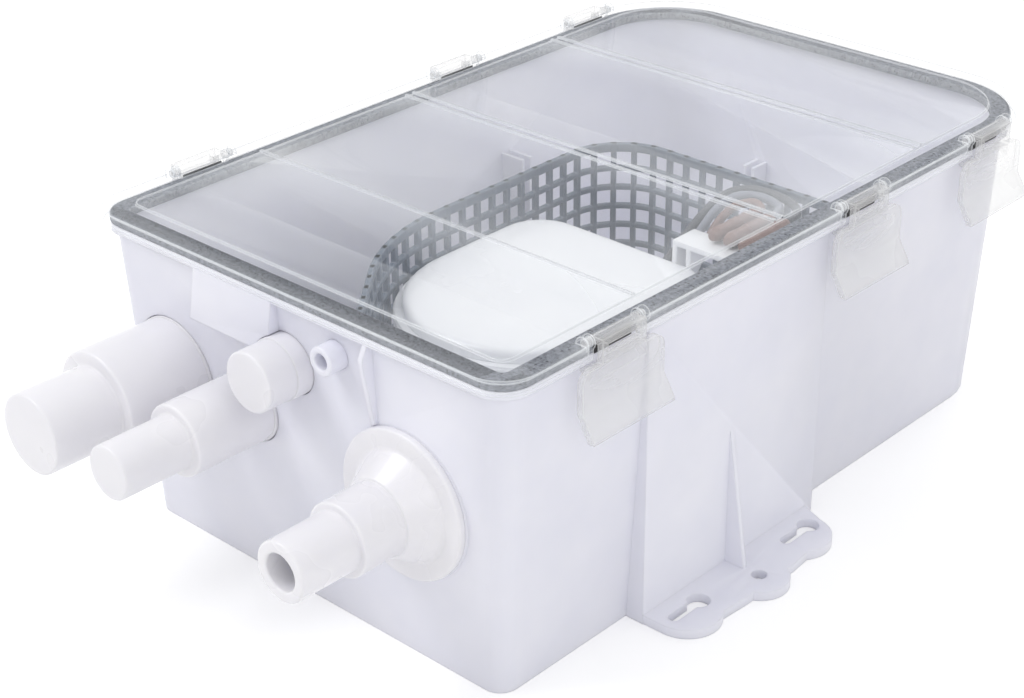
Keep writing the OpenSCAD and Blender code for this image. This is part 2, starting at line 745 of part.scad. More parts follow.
module discharge_fitting() color([0.95, 0.94, 0.95]) facing_out(outlet_x, seat_y, outlet_z) difference() {
    union() {
        cylinder(h = flange_t, r = flange_r);
        translate([0, 0, -sleeve_in]) cylinder(h = sleeve_in + flange_t, r = sleeve_r);
        translate([0, 0, flange_t]) cylinder(h = cone_out - flange_t, r1 = cone_r, r2 = mid_r + edge);
        cylinder(h = mid_out - edge, r = mid_r);
        translate([0, 0, mid_out - edge]) cylinder(h = edge, r1 = mid_r, r2 = mid_r - edge);
        cylinder(h = mouth_out - edge, r = tip_r);
        translate([0, 0, mouth_out - edge]) cylinder(h = edge, r1 = tip_r, r2 = tip_r - edge);
    }
    translate([0, 0, -sleeve_in - over]) cylinder(h = sleeve_in + valve_seat_out + over, r = plug_r + fit);
    translate([0, 0, valve_seat_out - over])
        cylinder(h = chamber_out - valve_seat_out + over, r = chamber_valve_r);
    cylinder(h = mouth_out + over, r = outlet_bore_r);
}

module discharge_seal() color([0.2, 0.2, 0.21])
    facing_out(outlet_x, boss_y + seal_t, outlet_z) ring(nut_r - gap, sleeve_r + gap, seal_t);

module discharge_locknut() color([0.9, 0.9, 0.92])
    facing_out(outlet_x, boss_y + seal_t + nut_t, outlet_z) difference() {
        cylinder(h = nut_t, r = nut_r, $fn = 6);
        translate([0, 0, -over]) cylinder(h = nut_t + 2*over, r = sleeve_r + fit);
    }

// Plug with the valve seat, two hinge ears and the inner hose barb
module valve_tail() color([0.9, 0.9, 0.92]) facing_out(outlet_x, seat_y, outlet_z) difference() {
    union() {
        translate([0, 0, -sleeve_in - tail_collar_t]) cylinder(h = tail_collar_t, r = sleeve_r - edge);
        translate([0, 0, -sleeve_in - edge]) cylinder(h = sleeve_in + valve_seat_out + edge, r = plug_r);
        translate([0, 0, -sleeve_in - tail_collar_t - tail_end]) cylinder(h = tail_end + edge, r = nozzle_r);
        for (s = [0, 1]) mirror([s, 0, 0]) valve_ear();
    }
    translate([0, 0, -sleeve_in - tail_collar_t - tail_end - over])
        cylinder(h = box_l, r = nozzle_bore_r - gap);
    valve_hinge_line(valve_pin_r + fit/5, 6*valve_ear_t);
}

// Round ear about the flap's axis, on a web that stands on the seat
module valve_ear() {
    translate([valve_ear_x, valve_axis_z, valve_axis_out]) rotate([0, 90, 0])
        cylinder(h = valve_ear_t, r = valve_ear_r);
    translate([valve_ear_x, valve_axis_z - valve_ear_r*ear_web_share, valve_seat_out - edge])
        cube([valve_ear_t, 2*valve_ear_r*ear_web_share, valve_axis_out - valve_seat_out + edge]);
}

module valve_hinge_line(r, len) {
    translate([0, valve_axis_z, valve_axis_out]) rotate([0, 90, 0]) cylinder(h = len, r = r, center = true);
}

module valve_flap() color([0.25, 0.25, 0.27]) facing_out(outlet_x, seat_y, outlet_z) difference() {
    union() {
        translate([0, 0, valve_seat_out + 2*fit]) cylinder(h = flap_t, r = flap_r);
        translate([-valve_ear_t, 0, valve_seat_out + 4*fit])
            cube([2*valve_ear_t, valve_axis_z, flap_t - 2*fit]);
        valve_hinge_line(2*valve_pin_r, 2*valve_ear_t);
    }
    valve_hinge_line(valve_pin_r + fit, 3*valve_ear_t);
}

module valve_pin() color([0.7, 0.7, 0.72]) facing_out(outlet_x, seat_y, outlet_z)
    valve_hinge_line(valve_pin_r, 2*(valve_ear_x + valve_ear_t));

module outlet_hose() color([0.3, 0.3, 0.32])
    facing_in(outlet_x, hose_y0, outlet_z) ring(nozzle_r + hose_wall, nozzle_r + fit, hose_y1 - hose_y0);

module hose_clamps() color([0.75, 0.76, 0.78])
    for (y = [hose_y0 + 2*edge, hose_y1 - clamp_w - 2*edge]) facing_in(outlet_x, y, outlet_z) {
        ring(nozzle_r + hose_wall + fit + clamp_t, nozzle_r + hose_wall + fit, clamp_w);
        translate([-clamp_w/2, -nozzle_r - hose_wall - clamp_t - clamp_w/2, edge])
            cube([clamp_w, clamp_w/2 + clamp_t/2, clamp_w - 2*edge]);
    }

// Points of a bend, about one pitch of the grid apart
function bend(c, r, from, to) = let (n = round(r*abs(to - from)*PI/180/fence_pitch))
    [for (i = [0:n]) c + r*[cos(from + (to - from)*i/n), sin(from + (to - from)*i/n)]];

// Flat run of the fence: rims above and below, square openings between the bars
module fence_run(len, start_in, end_in) {
    cols = max(round(len/fence_pitch), 1);
    pitch = len/cols;
    rotate([90, 0, 0]) translate([0, 0, -fence_t/2]) linear_extrude(fence_t) difference() {
        translate([start_in, 0]) square([len - start_in - end_in, fence_h]);
        for (i = [0:cols - 1], j = [0:fence_rows - 1])
            translate([i*pitch + fence_bar/2, fence_rim + j*row_pitch])
                square([pitch - fence_bar, row_pitch - fence_bar]);
    }
}

// Post that joins two panels
module fence_post() translate([-fence_bar/2 - fit, -fence_t/2 - post_proud, 0])
    cube([fence_bar + 2*fit, fence_t + 2*post_proud, fence_h]);

// One flat panel between each pair of points of the route, a post at each turn
module strainer_fence() color([0.52, 0.56, 0.62]) translate([0, 0, fence_z]) {
    last = len(fence_path) - 1;
    for (i = [0:last - 1]) let (way = fence_path[i + 1] - fence_path[i]) fence_place(fence_path[i], way)
        fence_run(norm(way), i == 0 ? 0 : fence_end_in, i == last - 1 ? 0 : fence_end_in);
    for (i = [1:last - 1]) fence_place(fence_path[i], fence_path[i + 1] - fence_path[i - 1]) fence_post();
}

module fence_place(at, along) translate([at[0], at[1], 0]) rotate([0, 0, atan2(along[1], along[0])]) children();

// Plan of the pump, drawn in by g: round in front, flat behind
module pump_plan(g) {
    w = pump_r - g;
    rc = pump_corner - g;
    yb = py + pump_back - g;
    translate([px, py]) circle(w);
    polygon([[px - w, py], [px + w, py], [px + w, yb - rc], [px + w - rc, yb],
        [px - w + rc, yb], [px - w, yb - rc]]);
    for (s = [-1, 1]) translate([px + s*(w - rc), yb - rc]) circle(rc);
}

module pump_ring(g, t, z, h) {
    translate([0, 0, z]) linear_extrude(h) difference() {
        pump_plan(g);
        pump_plan(g + t);
    }
}

module pump_slab(g, z, h) {
    translate([0, 0, z]) linear_extrude(h) pump_plan(g, $fn = 48);
}

module pump_base() color([0.9, 0.91, 0.93]) difference() {
    union() {
        pump_ring(edge, pump_wall, pump_z0, strainer_h);
        translate([0, 0, pump_z0 + post_h]) linear_extrude(base_plate_t) pump_plan(edge + pump_wall/2);
    }
    screw_places() translate([0, 0, pump_z0]) cylinder(h = strainer_h, r = screw_r + fit);
    for (a = [0:slot_turn:180]) translate([px, py, slot_z]) rotate([0, 0, 180 + a])
        translate([pump_r - 4*pump_wall, -slot_w/2, 0]) cube([6*pump_wall, slot_w, slot_h]);
    for (k = [1:slot_side_count]) translate([px - pump_r - pump_wall, py + k*slot_side_pitch, slot_z])
        cube([2*pump_r + 2*pump_wall, slot_w, slot_h]);
    for (k = [-2:2]) translate([px + k*slot_side_pitch - slot_w/2, py + pump_back - 3*pump_wall, slot_z])
        cube([slot_w, 5*pump_wall, slot_h]);
}

module base_screws() color([0.75, 0.76, 0.78]) screw_places() {
    translate([0, 0, floor_t/2 + fit]) cylinder(h = floor_t/2 + post_h + base_plate_t, r = screw_r);
    translate([0, 0, pump_z0 + post_h + base_plate_t]) difference() {
        cylinder(h = screw_r, r1 = screw_head_r, r2 = screw_head_r - edge);
        translate([-screw_head_r, -edge/2, screw_r - edge]) cube([2*screw_head_r, edge, screw_r]);
    }
}

module channel(r) {
    reach = [riser_x - px - chamber_r*0.72, riser_y - py + chamber_r/4];
    translate([px + chamber_r*0.72, py - chamber_r/4, (chamber_z0 + chamber_z1)/2])
        rotate([0, 90, atan2(reach[1], reach[0])]) cylinder(h = norm(reach), r = r);
}

module pump_volute() color([0.92, 0.93, 0.95]) difference() {
    union() {
        pump_ring(0, pump_wall, volute_z, volute_h);
        pump_slab(pump_wall/2, volute_z, chamber_z0 - volute_z);
        pump_slab(pump_wall/2, chamber_z1, body_z - chamber_z1);
        translate([px, py, volute_z]) cylinder(h = volute_h, r = chamber_r + pump_wall);
        translate([riser_x, riser_y, volute_z]) cylinder(h = riser_top - volute_z, r = riser_r);
        channel(riser_r*0.6);
        facing_out(riser_x, riser_y, outlet_z) cylinder(h = riser_y - nozzle_end, r = nozzle_r);
    }
    translate([px, py, volute_z - over]) cylinder(h = volute_h/2, r = eye_r);
    translate([px, py, chamber_z0]) cylinder(h = chamber_z1 - chamber_z0, r = chamber_r);
    translate([px, py, chamber_z1 - over]) cylinder(h = volute_h, r = shaft_r + gap);
    translate([px, py, chamber_z1 + edge]) cylinder(h = volute_h, r = seal_r + fit/5);
    channel(riser_r*0.42);
    translate([riser_x, riser_y, chamber_z0])
        cylinder(h = riser_top - pump_wall - chamber_z0, r = riser_r - pump_wall);
    facing_out(riser_x, riser_y, outlet_z) cylinder(h = riser_y - nozzle_end + over, r = nozzle_bore_r);
}

module lead_slot(r, h) {
    facing_in(lead_x, py + pump_back - pump_wall - over, lead_z) linear_extrude(h) {
        translate([-lead_step, -r]) square([2*lead_step, 2*r]);
        for (s = [-1, 1]) translate([s*lead_step, 0]) circle(r);
    }
}

module pump_body() color([0.95, 0.96, 0.97]) {
    difference() {
        union() {
            pump_ring(0, pump_wall, body_z, step_z - edge - body_z);
            pump_ring(edge/2, 2*pump_wall + step_in, step_z - pump_wall, pump_wall);
        }
        translate([riser_x, riser_y, body_z - over])
            cylinder(h = riser_top + gap - body_z + over, r = riser_r + gap);
        facing_out(riser_x, riser_y, outlet_z) cylinder(h = riser_r*4, r = nozzle_r + gap);
        lead_slot(lead_d + fit, 3*pump_wall);
    }
    // Guide that the sleeved connectors lie on
    for (s = [0, 1]) translate([guide_x + s*guide_rib_step, guide_y, 0]) rotate([90, 0, 90]) linear_extrude(rib_t)
        polygon([[0, step_z - pump_wall], [step_in - gap, step_z - pump_wall],
            [guide_out, guide_top - rib_t], [guide_out, guide_top], [0, guide_top]]);
    translate([guide_x, guide_y, guide_top - rib_t]) cube([guide_w, guide_out, rib_t]);
}

module pump_cover() color([0.96, 0.97, 0.98]) difference() {
    hull() {
        pump_slab(step_in, step_z, edge);
        pump_slab(step_in + edge/2, pump_top - 2*edge, edge/4);
        pump_slab(step_in + 2*edge, pump_top - edge/2, edge/4);
        pump_slab(step_in + dome_in, pump_top - edge/4, edge/4);
    }
    hull() {
        pump_slab(step_in + pump_wall, step_z - over, edge);
        pump_slab(step_in + pump_wall + edge, pump_top - pump_wall - edge/4, edge/4);
    }
}

module shaft_seal() color([0.2, 0.2, 0.21])
    translate([px, py, chamber_z1 + edge]) ring(seal_r, shaft_r + fit, body_z - chamber_z1 - edge);

module impeller() color([0.3, 0.33, 0.4]) translate([px, py, 0]) difference() {
    union() {
        translate([0, 0, impeller_z1 - vane_t]) cylinder(h = vane_t, r = impeller_r);
        translate([0, 0, impeller_z0]) cylinder(h = impeller_z1 - impeller_z0, r = 2.8*shaft_r);
        translate([0, 0, impeller_z0]) linear_extrude(impeller_z1 - impeller_z0) intersection() {
            circle(impeller_r);
            for (a = [0:60:300]) rotate(a) translate([impeller_r/2, impeller_r*0.1]) difference() {
                circle(impeller_r*0.62);
                circle(impeller_r*0.62 - vane_t);
                translate([-impeller_r, 0]) square([2*impeller_r, impeller_r]);
            }
        }
    }
    translate([0, 0, impeller_z0 - over]) cylinder(h = volute_h, r = shaft_r + fit/5);
}

module motor_shaft() color([0.75, 0.76, 0.78])
    translate([px, py, shaft_z0]) cylinder(h = shaft_z1 - shaft_z0, r = shaft_r);

module armature() color([0.6, 0.45, 0.35]) translate([px, py, armature_z]) difference() {
    union() {
        cylinder(h = armature_h, r = armature_r/3);
        translate([0, 0, armature_h*0.15]) cylinder(h = armature_h*0.55, r = armature_r);
    }
    for (a = [0:30:330]) rotate([0, 0, a]) translate([armature_r*0.75, -vane_t/2, 0])
        cube([armature_r, vane_t, armature_h]);
    translate([0, 0, -over]) cylinder(h = armature_h + 2*over, r = shaft_r + fit/5);
}

module motor_can() color([0.3, 0.31, 0.33]) translate([px, py, can_z0]) difference() {
    cylinder(h = can_h, r = can_r);
    difference() {
        translate([0, 0, can_wall]) cylinder(h = can_h - 2*can_wall, r = can_r - can_wall);
        translate([0, 0, can_h - can_wall - 2*shaft_r]) cylinder(h = can_h, r = 2.5*shaft_r);
    }
    translate([0, 0, -over]) cylinder(h = can_h/2, r = shaft_r + fit);
    translate([0, 0, can_h/2]) cylinder(h = can_h/2 - can_wall, r = shaft_r + fit);
}

module motor_magnets() color([0.25, 0.25, 0.27]) translate([px, py, can_z0 + 2*can_wall])
    for (s = [0, 180]) rotate([0, 0, s - 65]) rotate_extrude(angle = 130)
        translate([can_r - can_wall - magnet_t, 0]) square([magnet_t - fit, can_h - 5*can_wall]);

module float_arm() color([0.85, 0.6, 0.25]) difference() {
    union() {
        translate([float_x0, float_y, float_z0]) cube([float_w, float_t, float_h]);
        translate([float_x0 + float_w - edge, float_y + float_t/4, float_pz - float_pin_r])
            cube([float_px - float_x0 - float_w + edge, float_t/2, 2*float_pin_r]);
        facing_in(float_px, float_y, float_pz) cylinder(h = float_t, r = 2.4*float_pin_r);
    }
    facing_in(float_px, float_y - over, float_pz) cylinder(h = float_t + 2*over, r = float_pin_r + fit);
}

module float_pin() color([0.75, 0.76, 0.78])
    facing_in(float_px, float_y - gap - lug_t, float_pz)
        cylinder(h = float_t + 2*gap + 2*lug_t, r = float_pin_r);

module float_bracket() color([0.88, 0.89, 0.91]) difference() {
    union() {
        for (y = [float_y - gap - lug_t, float_y + float_t + gap])
            translate([float_px - 3*float_pin_r, y, float_pz - 3*float_pin_r])
                cube([6*float_pin_r, lug_t, bridge_z - float_pz + 3*float_pin_r]);
        translate([float_px - 3*float_pin_r, float_y - gap - lug_t, bridge_z - lug_t])
            cube([6*float_pin_r, inner_back - float_y + gap + lug_t, lug_t]);
    }
    facing_in(float_px, float_y - box_l/2, float_pz) cylinder(h = box_l, r = float_pin_r + fit/5);
}

module float_switch() color([0.2, 0.2, 0.22]) difference() {
    translate([float_px - switch_w/2, float_y, bridge_z]) cube([switch_w, float_t + 2*gap, switch_h]);
    for (s = [-1, 1]) facing_in(float_px + s*switch_w/3, float_y - over, bridge_z + switch_h/3)
        cylinder(h = 2*float_t, r = edge);
}

module lead_grommet() color([0.2, 0.2, 0.21]) difference() {
    translate([0, pump_wall/2, 0]) {
        lead_slot(lead_d, over + pump_wall/2 + grommet_out);
        translate([0, pump_wall/2 + over, 0]) lead_slot(lead_d + edge, grommet_out - edge);
    }
    for (k = [-1:1]) facing_in(lead_x + k*lead_step, lead_y0, lead_z)
        cylinder(h = box_l, r = lead_d/2 + fit);
}

// Smooth curve through a list of points, n steps to a span
function point_at(p, i) = p[min(max(i, 0), len(p) - 1)];
function spline(a, b, c, d, t) =
    0.5*(2*b + (c - a)*t + (2*a - 5*b + 4*c - d)*t*t + (3*b - a - 3*c + d)*t*t*t);
function route(p, n) = [for (i = [0:len(p) - 2], k = [0:n - 1])
    spline(point_at(p, i - 1), p[i], p[i + 1], point_at(p, i + 2), k/n), p[len(p) - 1]];
function unit(v) = v/norm(v);
// Leads leave the pump square along +Y and enter their sleeves square along -Y
function heading(q, i) = i == 0 ? [0, 1, 0] : i == len(q) - 1 ? [0, -1, 0] : unit(q[i + 1] - q[i - 1]);

// Round tube of sides faces swept along the points q
module tube(q, r, sides) {
    n = len(q);
    points = [for (i = [0:n - 1]) let (h = heading(q, i), u = unit(cross(h, [0.3, 0.1, 1])), v = cross(h, u))
        for (k = [0:sides - 1]) q[i] + r*(cos(360*k/sides)*u + sin(360*k/sides)*v)];
    polyhedron(points, concat([[for (k = [0:sides - 1]) k]],
        [for (i = [0:n - 2], k = [0:sides - 1])
            [i*sides + k, (i + 1)*sides + k, (i + 1)*sides + (k + 1) % sides, i*sides + (k + 1) % sides]],
        [[for (k = [sides - 1:-1:0]) (n - 1)*sides + k]]));
}

module pump_lead_dark() color([0.22, 0.23, 0.25]) tube(route(dark_route, 2), lead_d/2, 8);

module pump_lead_grey() color([0.45, 0.46, 0.5]) tube(route(grey_route, 2), lead_d/2, 8);

module pump_lead_brown() color([0.42, 0.3, 0.26]) tube(route(brown_route, 2), lead_d/2, 8);

module lead_connectors() color([0.5, 0.36, 0.32])
    for (q = [dark_route, grey_route, brown_route]) {
        end = q[len(q) - 1];
        facing_out(end[0], end[1], end[2]) {
            cylinder(h = connector_d/2, r1 = lead_d/2 + edge/4, r2 = connector_d/2);
            translate([0, 0, connector_d/2]) cylinder(h = connector_l - connector_d, r = connector_d/2);
            translate([0, 0, connector_l - connector_d/2])
                cylinder(h = connector_d/2, r1 = connector_d/2, r2 = lead_d/2);
        }
    }

module clip_front_right() clip(1, -clip_front);
module clip_mid_right() clip(1, clip_mid);
module clip_rear_right() clip(1, clip_rear);
module clip_front_left() clip(-1, -clip_front);
module clip_mid_left() clip(-1, clip_mid);
module clip_rear_left() clip(-1, clip_rear);

sump_box();
lid();
lid_gasket();
clip_front_right();
clip_mid_right();
clip_rear_right();
clip_front_left();
clip_mid_left();
clip_rear_left();
inlet_spigot_large();
inlet_spigot_medium();
inlet_spigot_small();
inlet_seals();
cable_gland();
discharge_fitting();
discharge_seal();
discharge_locknut();
valve_tail();
valve_flap();
valve_pin();
outlet_hose();
hose_clamps();
strainer_fence();
pump_base();
pump_volute();
pump_body();
pump_cover();
base_screws();
impeller();
motor_shaft();
armature();
shaft_seal();
motor_can();
motor_magnets();
float_arm();
float_pin();
float_bracket();
float_switch();
lead_grommet();
pump_lead_dark();
pump_lead_grey();
pump_lead_brown();
lead_connectors();
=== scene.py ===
import json
import math
import bmesh
import bpy
from mathutils import Matrix, Vector


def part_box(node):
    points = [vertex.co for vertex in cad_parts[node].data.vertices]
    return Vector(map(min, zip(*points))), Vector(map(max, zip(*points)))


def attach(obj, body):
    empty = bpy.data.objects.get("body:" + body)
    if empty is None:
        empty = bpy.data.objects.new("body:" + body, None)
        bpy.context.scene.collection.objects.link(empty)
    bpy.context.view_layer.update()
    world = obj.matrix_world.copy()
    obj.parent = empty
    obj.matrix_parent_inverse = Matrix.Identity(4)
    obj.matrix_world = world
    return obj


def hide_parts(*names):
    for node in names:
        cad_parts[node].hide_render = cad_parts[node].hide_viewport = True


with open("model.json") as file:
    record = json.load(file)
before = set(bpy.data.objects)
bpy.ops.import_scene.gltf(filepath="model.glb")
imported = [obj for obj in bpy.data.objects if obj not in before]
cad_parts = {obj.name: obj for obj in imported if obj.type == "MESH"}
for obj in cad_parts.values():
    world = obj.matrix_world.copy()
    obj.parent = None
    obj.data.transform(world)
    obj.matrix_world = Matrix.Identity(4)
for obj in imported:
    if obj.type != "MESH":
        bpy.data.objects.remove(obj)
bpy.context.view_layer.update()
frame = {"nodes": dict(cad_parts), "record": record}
mm = 0.001
print("frame loaded:", len(frame["nodes"]), "nodes")

# camera, from the lines of the box in the photograph
cameraValues = {
    "place": (0.44797, -0.52414, 0.40447), "turn": 43.106, "rise": 28.027, "rightZ": -0.0102,
    "lens": 73.12, "sensor": 36.0, "nearest": 0.05, "farthest": 20.0,
}


def makeCamera(v):
    a, e = math.radians(v["turn"]), math.radians(v["rise"])
    back = Vector((math.sin(a) * math.cos(e), -math.cos(a) * math.cos(e), math.sin(e)))
    level = Vector((math.cos(a), math.sin(a), 0.0))
    roll = math.asin(v["rightZ"] / math.cos(e))
    right = Matrix.Rotation(roll, 3, back) @ level
    data = bpy.data.cameras.new("camera")
    data.lens, data.sensor_width, data.sensor_fit = v["lens"], v["sensor"], "HORIZONTAL"
    data.clip_start, data.clip_end = v["nearest"], v["farthest"]
    cam = bpy.data.objects.new("camera", data)
    bpy.context.scene.collection.objects.link(cam)
    aimed = Matrix((right, back.cross(right), back)).transposed().to_4x4()
    cam.matrix_world = Matrix.Translation(v["place"]) @ aimed
    bpy.context.scene.camera = cam


makeCamera(cameraValues)
bpy.context.scene.view_settings.view_transform = "Standard"
print("camera set")


# shader groups


def linear(r, g, b):
    # screen colour, each channel out of 255, as the linear colour that a socket takes
    lit = tuple((c / 255) / 12.92 if c <= 10 else ((c / 255 + 0.055) / 1.055) ** 2.4 for c in (r, g, b))
    return lit + (1.0,)


def newGroup(name, inputs, outputs):
    group = bpy.data.node_groups.new(name, "ShaderNodeTree")
    for label, kind, value in inputs:
        socket = group.interface.new_socket(name=label, in_out="INPUT", socket_type=kind)
        socket.default_value = value
    for label, kind in outputs:
        group.interface.new_socket(name=label, in_out="OUTPUT", socket_type=kind)
    return group, group.nodes.new("NodeGroupInput"), group.nodes.new("NodeGroupOutput")


def link(tree, source, target):
    tree.links.new(source, target)


def mathNode(tree, operation, a, b, clamp=False):
    node = tree.nodes.new("ShaderNodeMath")
    node.operation, node.use_clamp = operation, clamp
    for i, value in enumerate((a, b)):
        if isinstance(value, (int, float)):
            node.inputs[i].default_value = value
        else:
            link(tree, value, node.inputs[i])
    return node.outputs[0]


def rangeNode(tree, value, low, high, toLow, toHigh):
    node = tree.nodes.new("ShaderNodeMapRange")
    link(tree, value, node.inputs["Value"])
    for label, number in (("From Min", low), ("From Max", high), ("To Min", toLow), ("To Max", toHigh)):
        if isinstance(number, (int, float)):
            node.inputs[label].default_value = number
        else:
            link(tree, number, node.inputs[label])
    return node.outputs["Result"]


def noiseNode(tree, scale, detail, rough=0.5):
    where = tree.nodes.new("ShaderNodeTexCoord")
    node = tree.nodes.new("ShaderNodeTexNoise")
    link(tree, where.outputs["Object"], node.inputs["Vector"])
    node.inputs["Detail"].default_value = detail
    node.inputs["Roughness"].default_value = rough
    if isinstance(scale, (int, float)):
        node.inputs["Scale"].default_value = scale
    else:
        link(tree, scale, node.inputs["Scale"])
    return node.outputs["Fac"]


def blendColour(tree, mask, a, b):
    node = tree.nodes.new("ShaderNodeMix")
    node.data_type = "RGBA"
    for label, value in ((0, mask), (6, a), (7, b)):
        if isinstance(value, (int, float, tuple)):
            node.inputs[label].default_value = value
        else:
            link(tree, value, node.inputs[label])
    return node.outputs[2]


def makeMouldSkin():
    # fine mould grain with slow flow marks and a little tint drift
    group, into, out = newGroup("mouldSkin",
        [("Grain Scale", "NodeSocketFloat", 2600.0), ("Flow Scale", "NodeSocketFloat", 22.0),
         ("Drift", "NodeSocketFloat", 0.04), ("Colour", "NodeSocketColor", (0.8, 0.8, 0.8, 1)),
         ("Deep Colour", "NodeSocketColor", (0.7, 0.7, 0.75, 1)),
         ("Rough Low", "NodeSocketFloat", 0.3), ("Rough High", "NodeSocketFloat", 0.42)],
        [("Colour", "NodeSocketColor"), ("Roughness", "NodeSocketFloat"), ("Height", "NodeSocketFloat")])
    grain = noiseNode(group, into.outputs["Grain Scale"], 2.0)
    flow = noiseNode(group, into.outputs["Flow Scale"], 3.0, 0.6)
    soft = rangeNode(group, flow, 0.35, 0.65, 0.0, into.outputs["Drift"])
    tint = blendColour(group, soft, into.outputs["Colour"], into.outputs["Deep Colour"])
    link(group, tint, out.inputs["Colour"])
    rough = rangeNode(group, flow, 0.3, 0.7, into.outputs["Rough Low"], into.outputs["Rough High"])
    link(group, rough, out.inputs["Roughness"])
    link(group, mathNode(group, "ADD", mathNode(group, "MULTIPLY", grain, 0.35), flow), out.inputs["Height"])
    return group


def makeEdgeCatch():
    # mask of the rounded edges, which catch light on clear and frosted plastic; painted highlights are laid
    # along it
    group, into, out = newGroup("edgeCatch",
        [("Low", "NodeSocketFloat", 0.9), ("High", "NodeSocketFloat", 0.999)],
        [("Mask", "NodeSocketFloat"), ("Normal", "NodeSocketVector")])
    bevel = group.nodes.new("ShaderNodeBevel")
    bevel.samples = 6
    bevel.inputs["Radius"].default_value = 0.7 * mm
    place = group.nodes.new("ShaderNodeNewGeometry")
    dot = group.nodes.new("ShaderNodeVectorMath")
    dot.operation = "DOT_PRODUCT"
    link(group, bevel.outputs["Normal"], dot.inputs[0])
    link(group, place.outputs["True Normal"], dot.inputs[1])
    link(group, rangeNode(group, dot.outputs["Value"], into.outputs["Low"], into.outputs["High"], 1.0, 0.0),
        out.inputs["Mask"])
    link(group, bevel.outputs["Normal"], out.inputs["Normal"])
    return group


def makeFoamCells():
    # cut closed cell foam: mottled grey with a few dark open cells
    group, into, out = newGroup("foamCells",
        [("Cell Scale", "NodeSocketFloat", 850.0), ("Dark", "NodeSocketColor", (0.02, 0.02, 0.02, 1)),
         ("Middle", "NodeSocketColor", (0.2, 0.2, 0.2, 1)), ("Pale", "NodeSocketColor", (0.3, 0.3, 0.3, 1))],
        [("Colour", "NodeSocketColor"), ("Height", "NodeSocketFloat")])
    where = group.nodes.new("ShaderNodeTexCoord")
    cells = group.nodes.new("ShaderNodeTexVoronoi")
    link(group, where.outputs["Object"], cells.inputs["Vector"])
    link(group, into.outputs["Cell Scale"], cells.inputs["Scale"])
    tint = group.nodes.new("ShaderNodeSeparateColor")
    link(group, cells.outputs["Color"], tint.inputs[0])
    spot = mathNode(group, "MULTIPLY", rangeNode(group, cells.outputs["Distance"], 0.2, 0.42, 1.0, 0.0),
        mathNode(group, "GREATER_THAN", tint.outputs[0], 0.62))
    mottle = rangeNode(group, noiseNode(group, 650.0, 3.0, 0.6), 0.35, 0.65, 0.0, 1.0)
    ground = blendColour(group, mottle, into.outputs["Middle"], into.outputs["Pale"])
    link(group, blendColour(group, spot, ground, into.outputs["Dark"]), out.inputs["Colour"])
    link(group, mathNode(group, "SUBTRACT", mottle, spot), out.inputs["Height"])
    return group


def makeBrushMarks():
    # drawn metal: long scratches one way, faint blotches
    group, into, out = newGroup("brushMarks",
        [("Stretch", "NodeSocketVector", (30.0, 30.0, 2400.0)), ("Low", "NodeSocketFloat", 0.22),
         ("High", "NodeSocketFloat", 0.4)],
        [("Roughness", "NodeSocketFloat"), ("Height", "NodeSocketFloat")])
    where = group.nodes.new("ShaderNodeTexCoord")
    scaled = group.nodes.new("ShaderNodeVectorMath")
    scaled.operation = "MULTIPLY"
    link(group, where.outputs["Object"], scaled.inputs[0])
    link(group, into.outputs["Stretch"], scaled.inputs[1])
    noise = group.nodes.new("ShaderNodeTexNoise")
    noise.inputs["Scale"].default_value, noise.inputs["Detail"].default_value = 1.0, 3.0
    link(group, scaled.outputs[0], noise.inputs["Vector"])
    link(group, rangeNode(group, noise.outputs["Fac"], 0.3, 0.7, into.outputs["Low"], into.outputs["High"]),
        out.inputs["Roughness"])
    link(group, noise.outputs["Fac"], out.inputs["Height"])
    return group


mouldSkin = makeMouldSkin()
edgeCatch = makeEdgeCatch()
foamCells = makeFoamCells()
brushMarks = makeBrushMarks()
print("shader groups made")


# materials


def useGroup(tree, group, values):
    node = tree.nodes.new("ShaderNodeGroup")
    node.node_tree = group
    for label, value in values.items():
        node.inputs[label].default_value = value
    return node


def startMaterial(name):
    made = bpy.data.materials.new(name)
    made.use_nodes = True
    return made, made.node_tree, made.node_tree.nodes["Principled BSDF"]


def bumpInto(tree, shader, height, strength, distance, normal=None):
    bump = tree.nodes.new("ShaderNodeBump")
    bump.inputs["Strength"].default_value, bump.inputs["Distance"].default_value = strength, distance
    link(tree, height, bump.inputs["Height"])
    if normal is not None:
        link(tree, normal, bump.inputs["Normal"])
    link(tree, bump.outputs["Normal"], shader.inputs["Normal"])


def plastic(name, colour, deep, rough, drift=0.5, grain=2600.0, bump=0.12, coat=0.0, soft=0.0, alpha=1.0,
        paintedGlint=0.0):
    # moulded plastic: soft lets light in, an alpha under 1 shows through and thickens at each edge, and the
    # edge glint amount whitens each edge as a painted highlight
    made, tree, shader = startMaterial(name)
    skin = useGroup(tree, mouldSkin, {"Colour": linear(*colour), "Deep Colour": linear(*deep), "Drift": drift,
        "Rough Low": rough[0], "Rough High": rough[1], "Grain Scale": grain})
    edges = useGroup(tree, edgeCatch, {})
    base = skin.outputs["Colour"]
    # painted highlight: the rounded edges blended toward white
    if paintedGlint:
        catch = mathNode(tree, "MULTIPLY", edges.outputs["Mask"], paintedGlint)
        base = blendColour(tree, catch, base, (1.0, 1.0, 1.0, 1.0))
    link(tree, base, shader.inputs["Base Color"])
    link(tree, skin.outputs["Roughness"], shader.inputs["Roughness"])
    bumpInto(tree, shader, skin.outputs["Height"], bump, 0.05 * mm, edges.outputs["Normal"])
    shader.inputs["Coat Weight"].default_value = coat
    shader.inputs["Coat Roughness"].default_value = 0.12
    if soft:
        shader.inputs["Subsurface Weight"].default_value = soft
        shader.inputs["Subsurface Radius"].default_value = (1.0, 1.0, 1.15)
        shader.inputs["Subsurface Scale"].default_value = 3 * mm
    if alpha < 1:
        lift = rangeNode(tree, edges.outputs["Mask"], 0.0, 1.0, alpha, 0.5)
        link(tree, lift, shader.inputs["Alpha"])
    return made


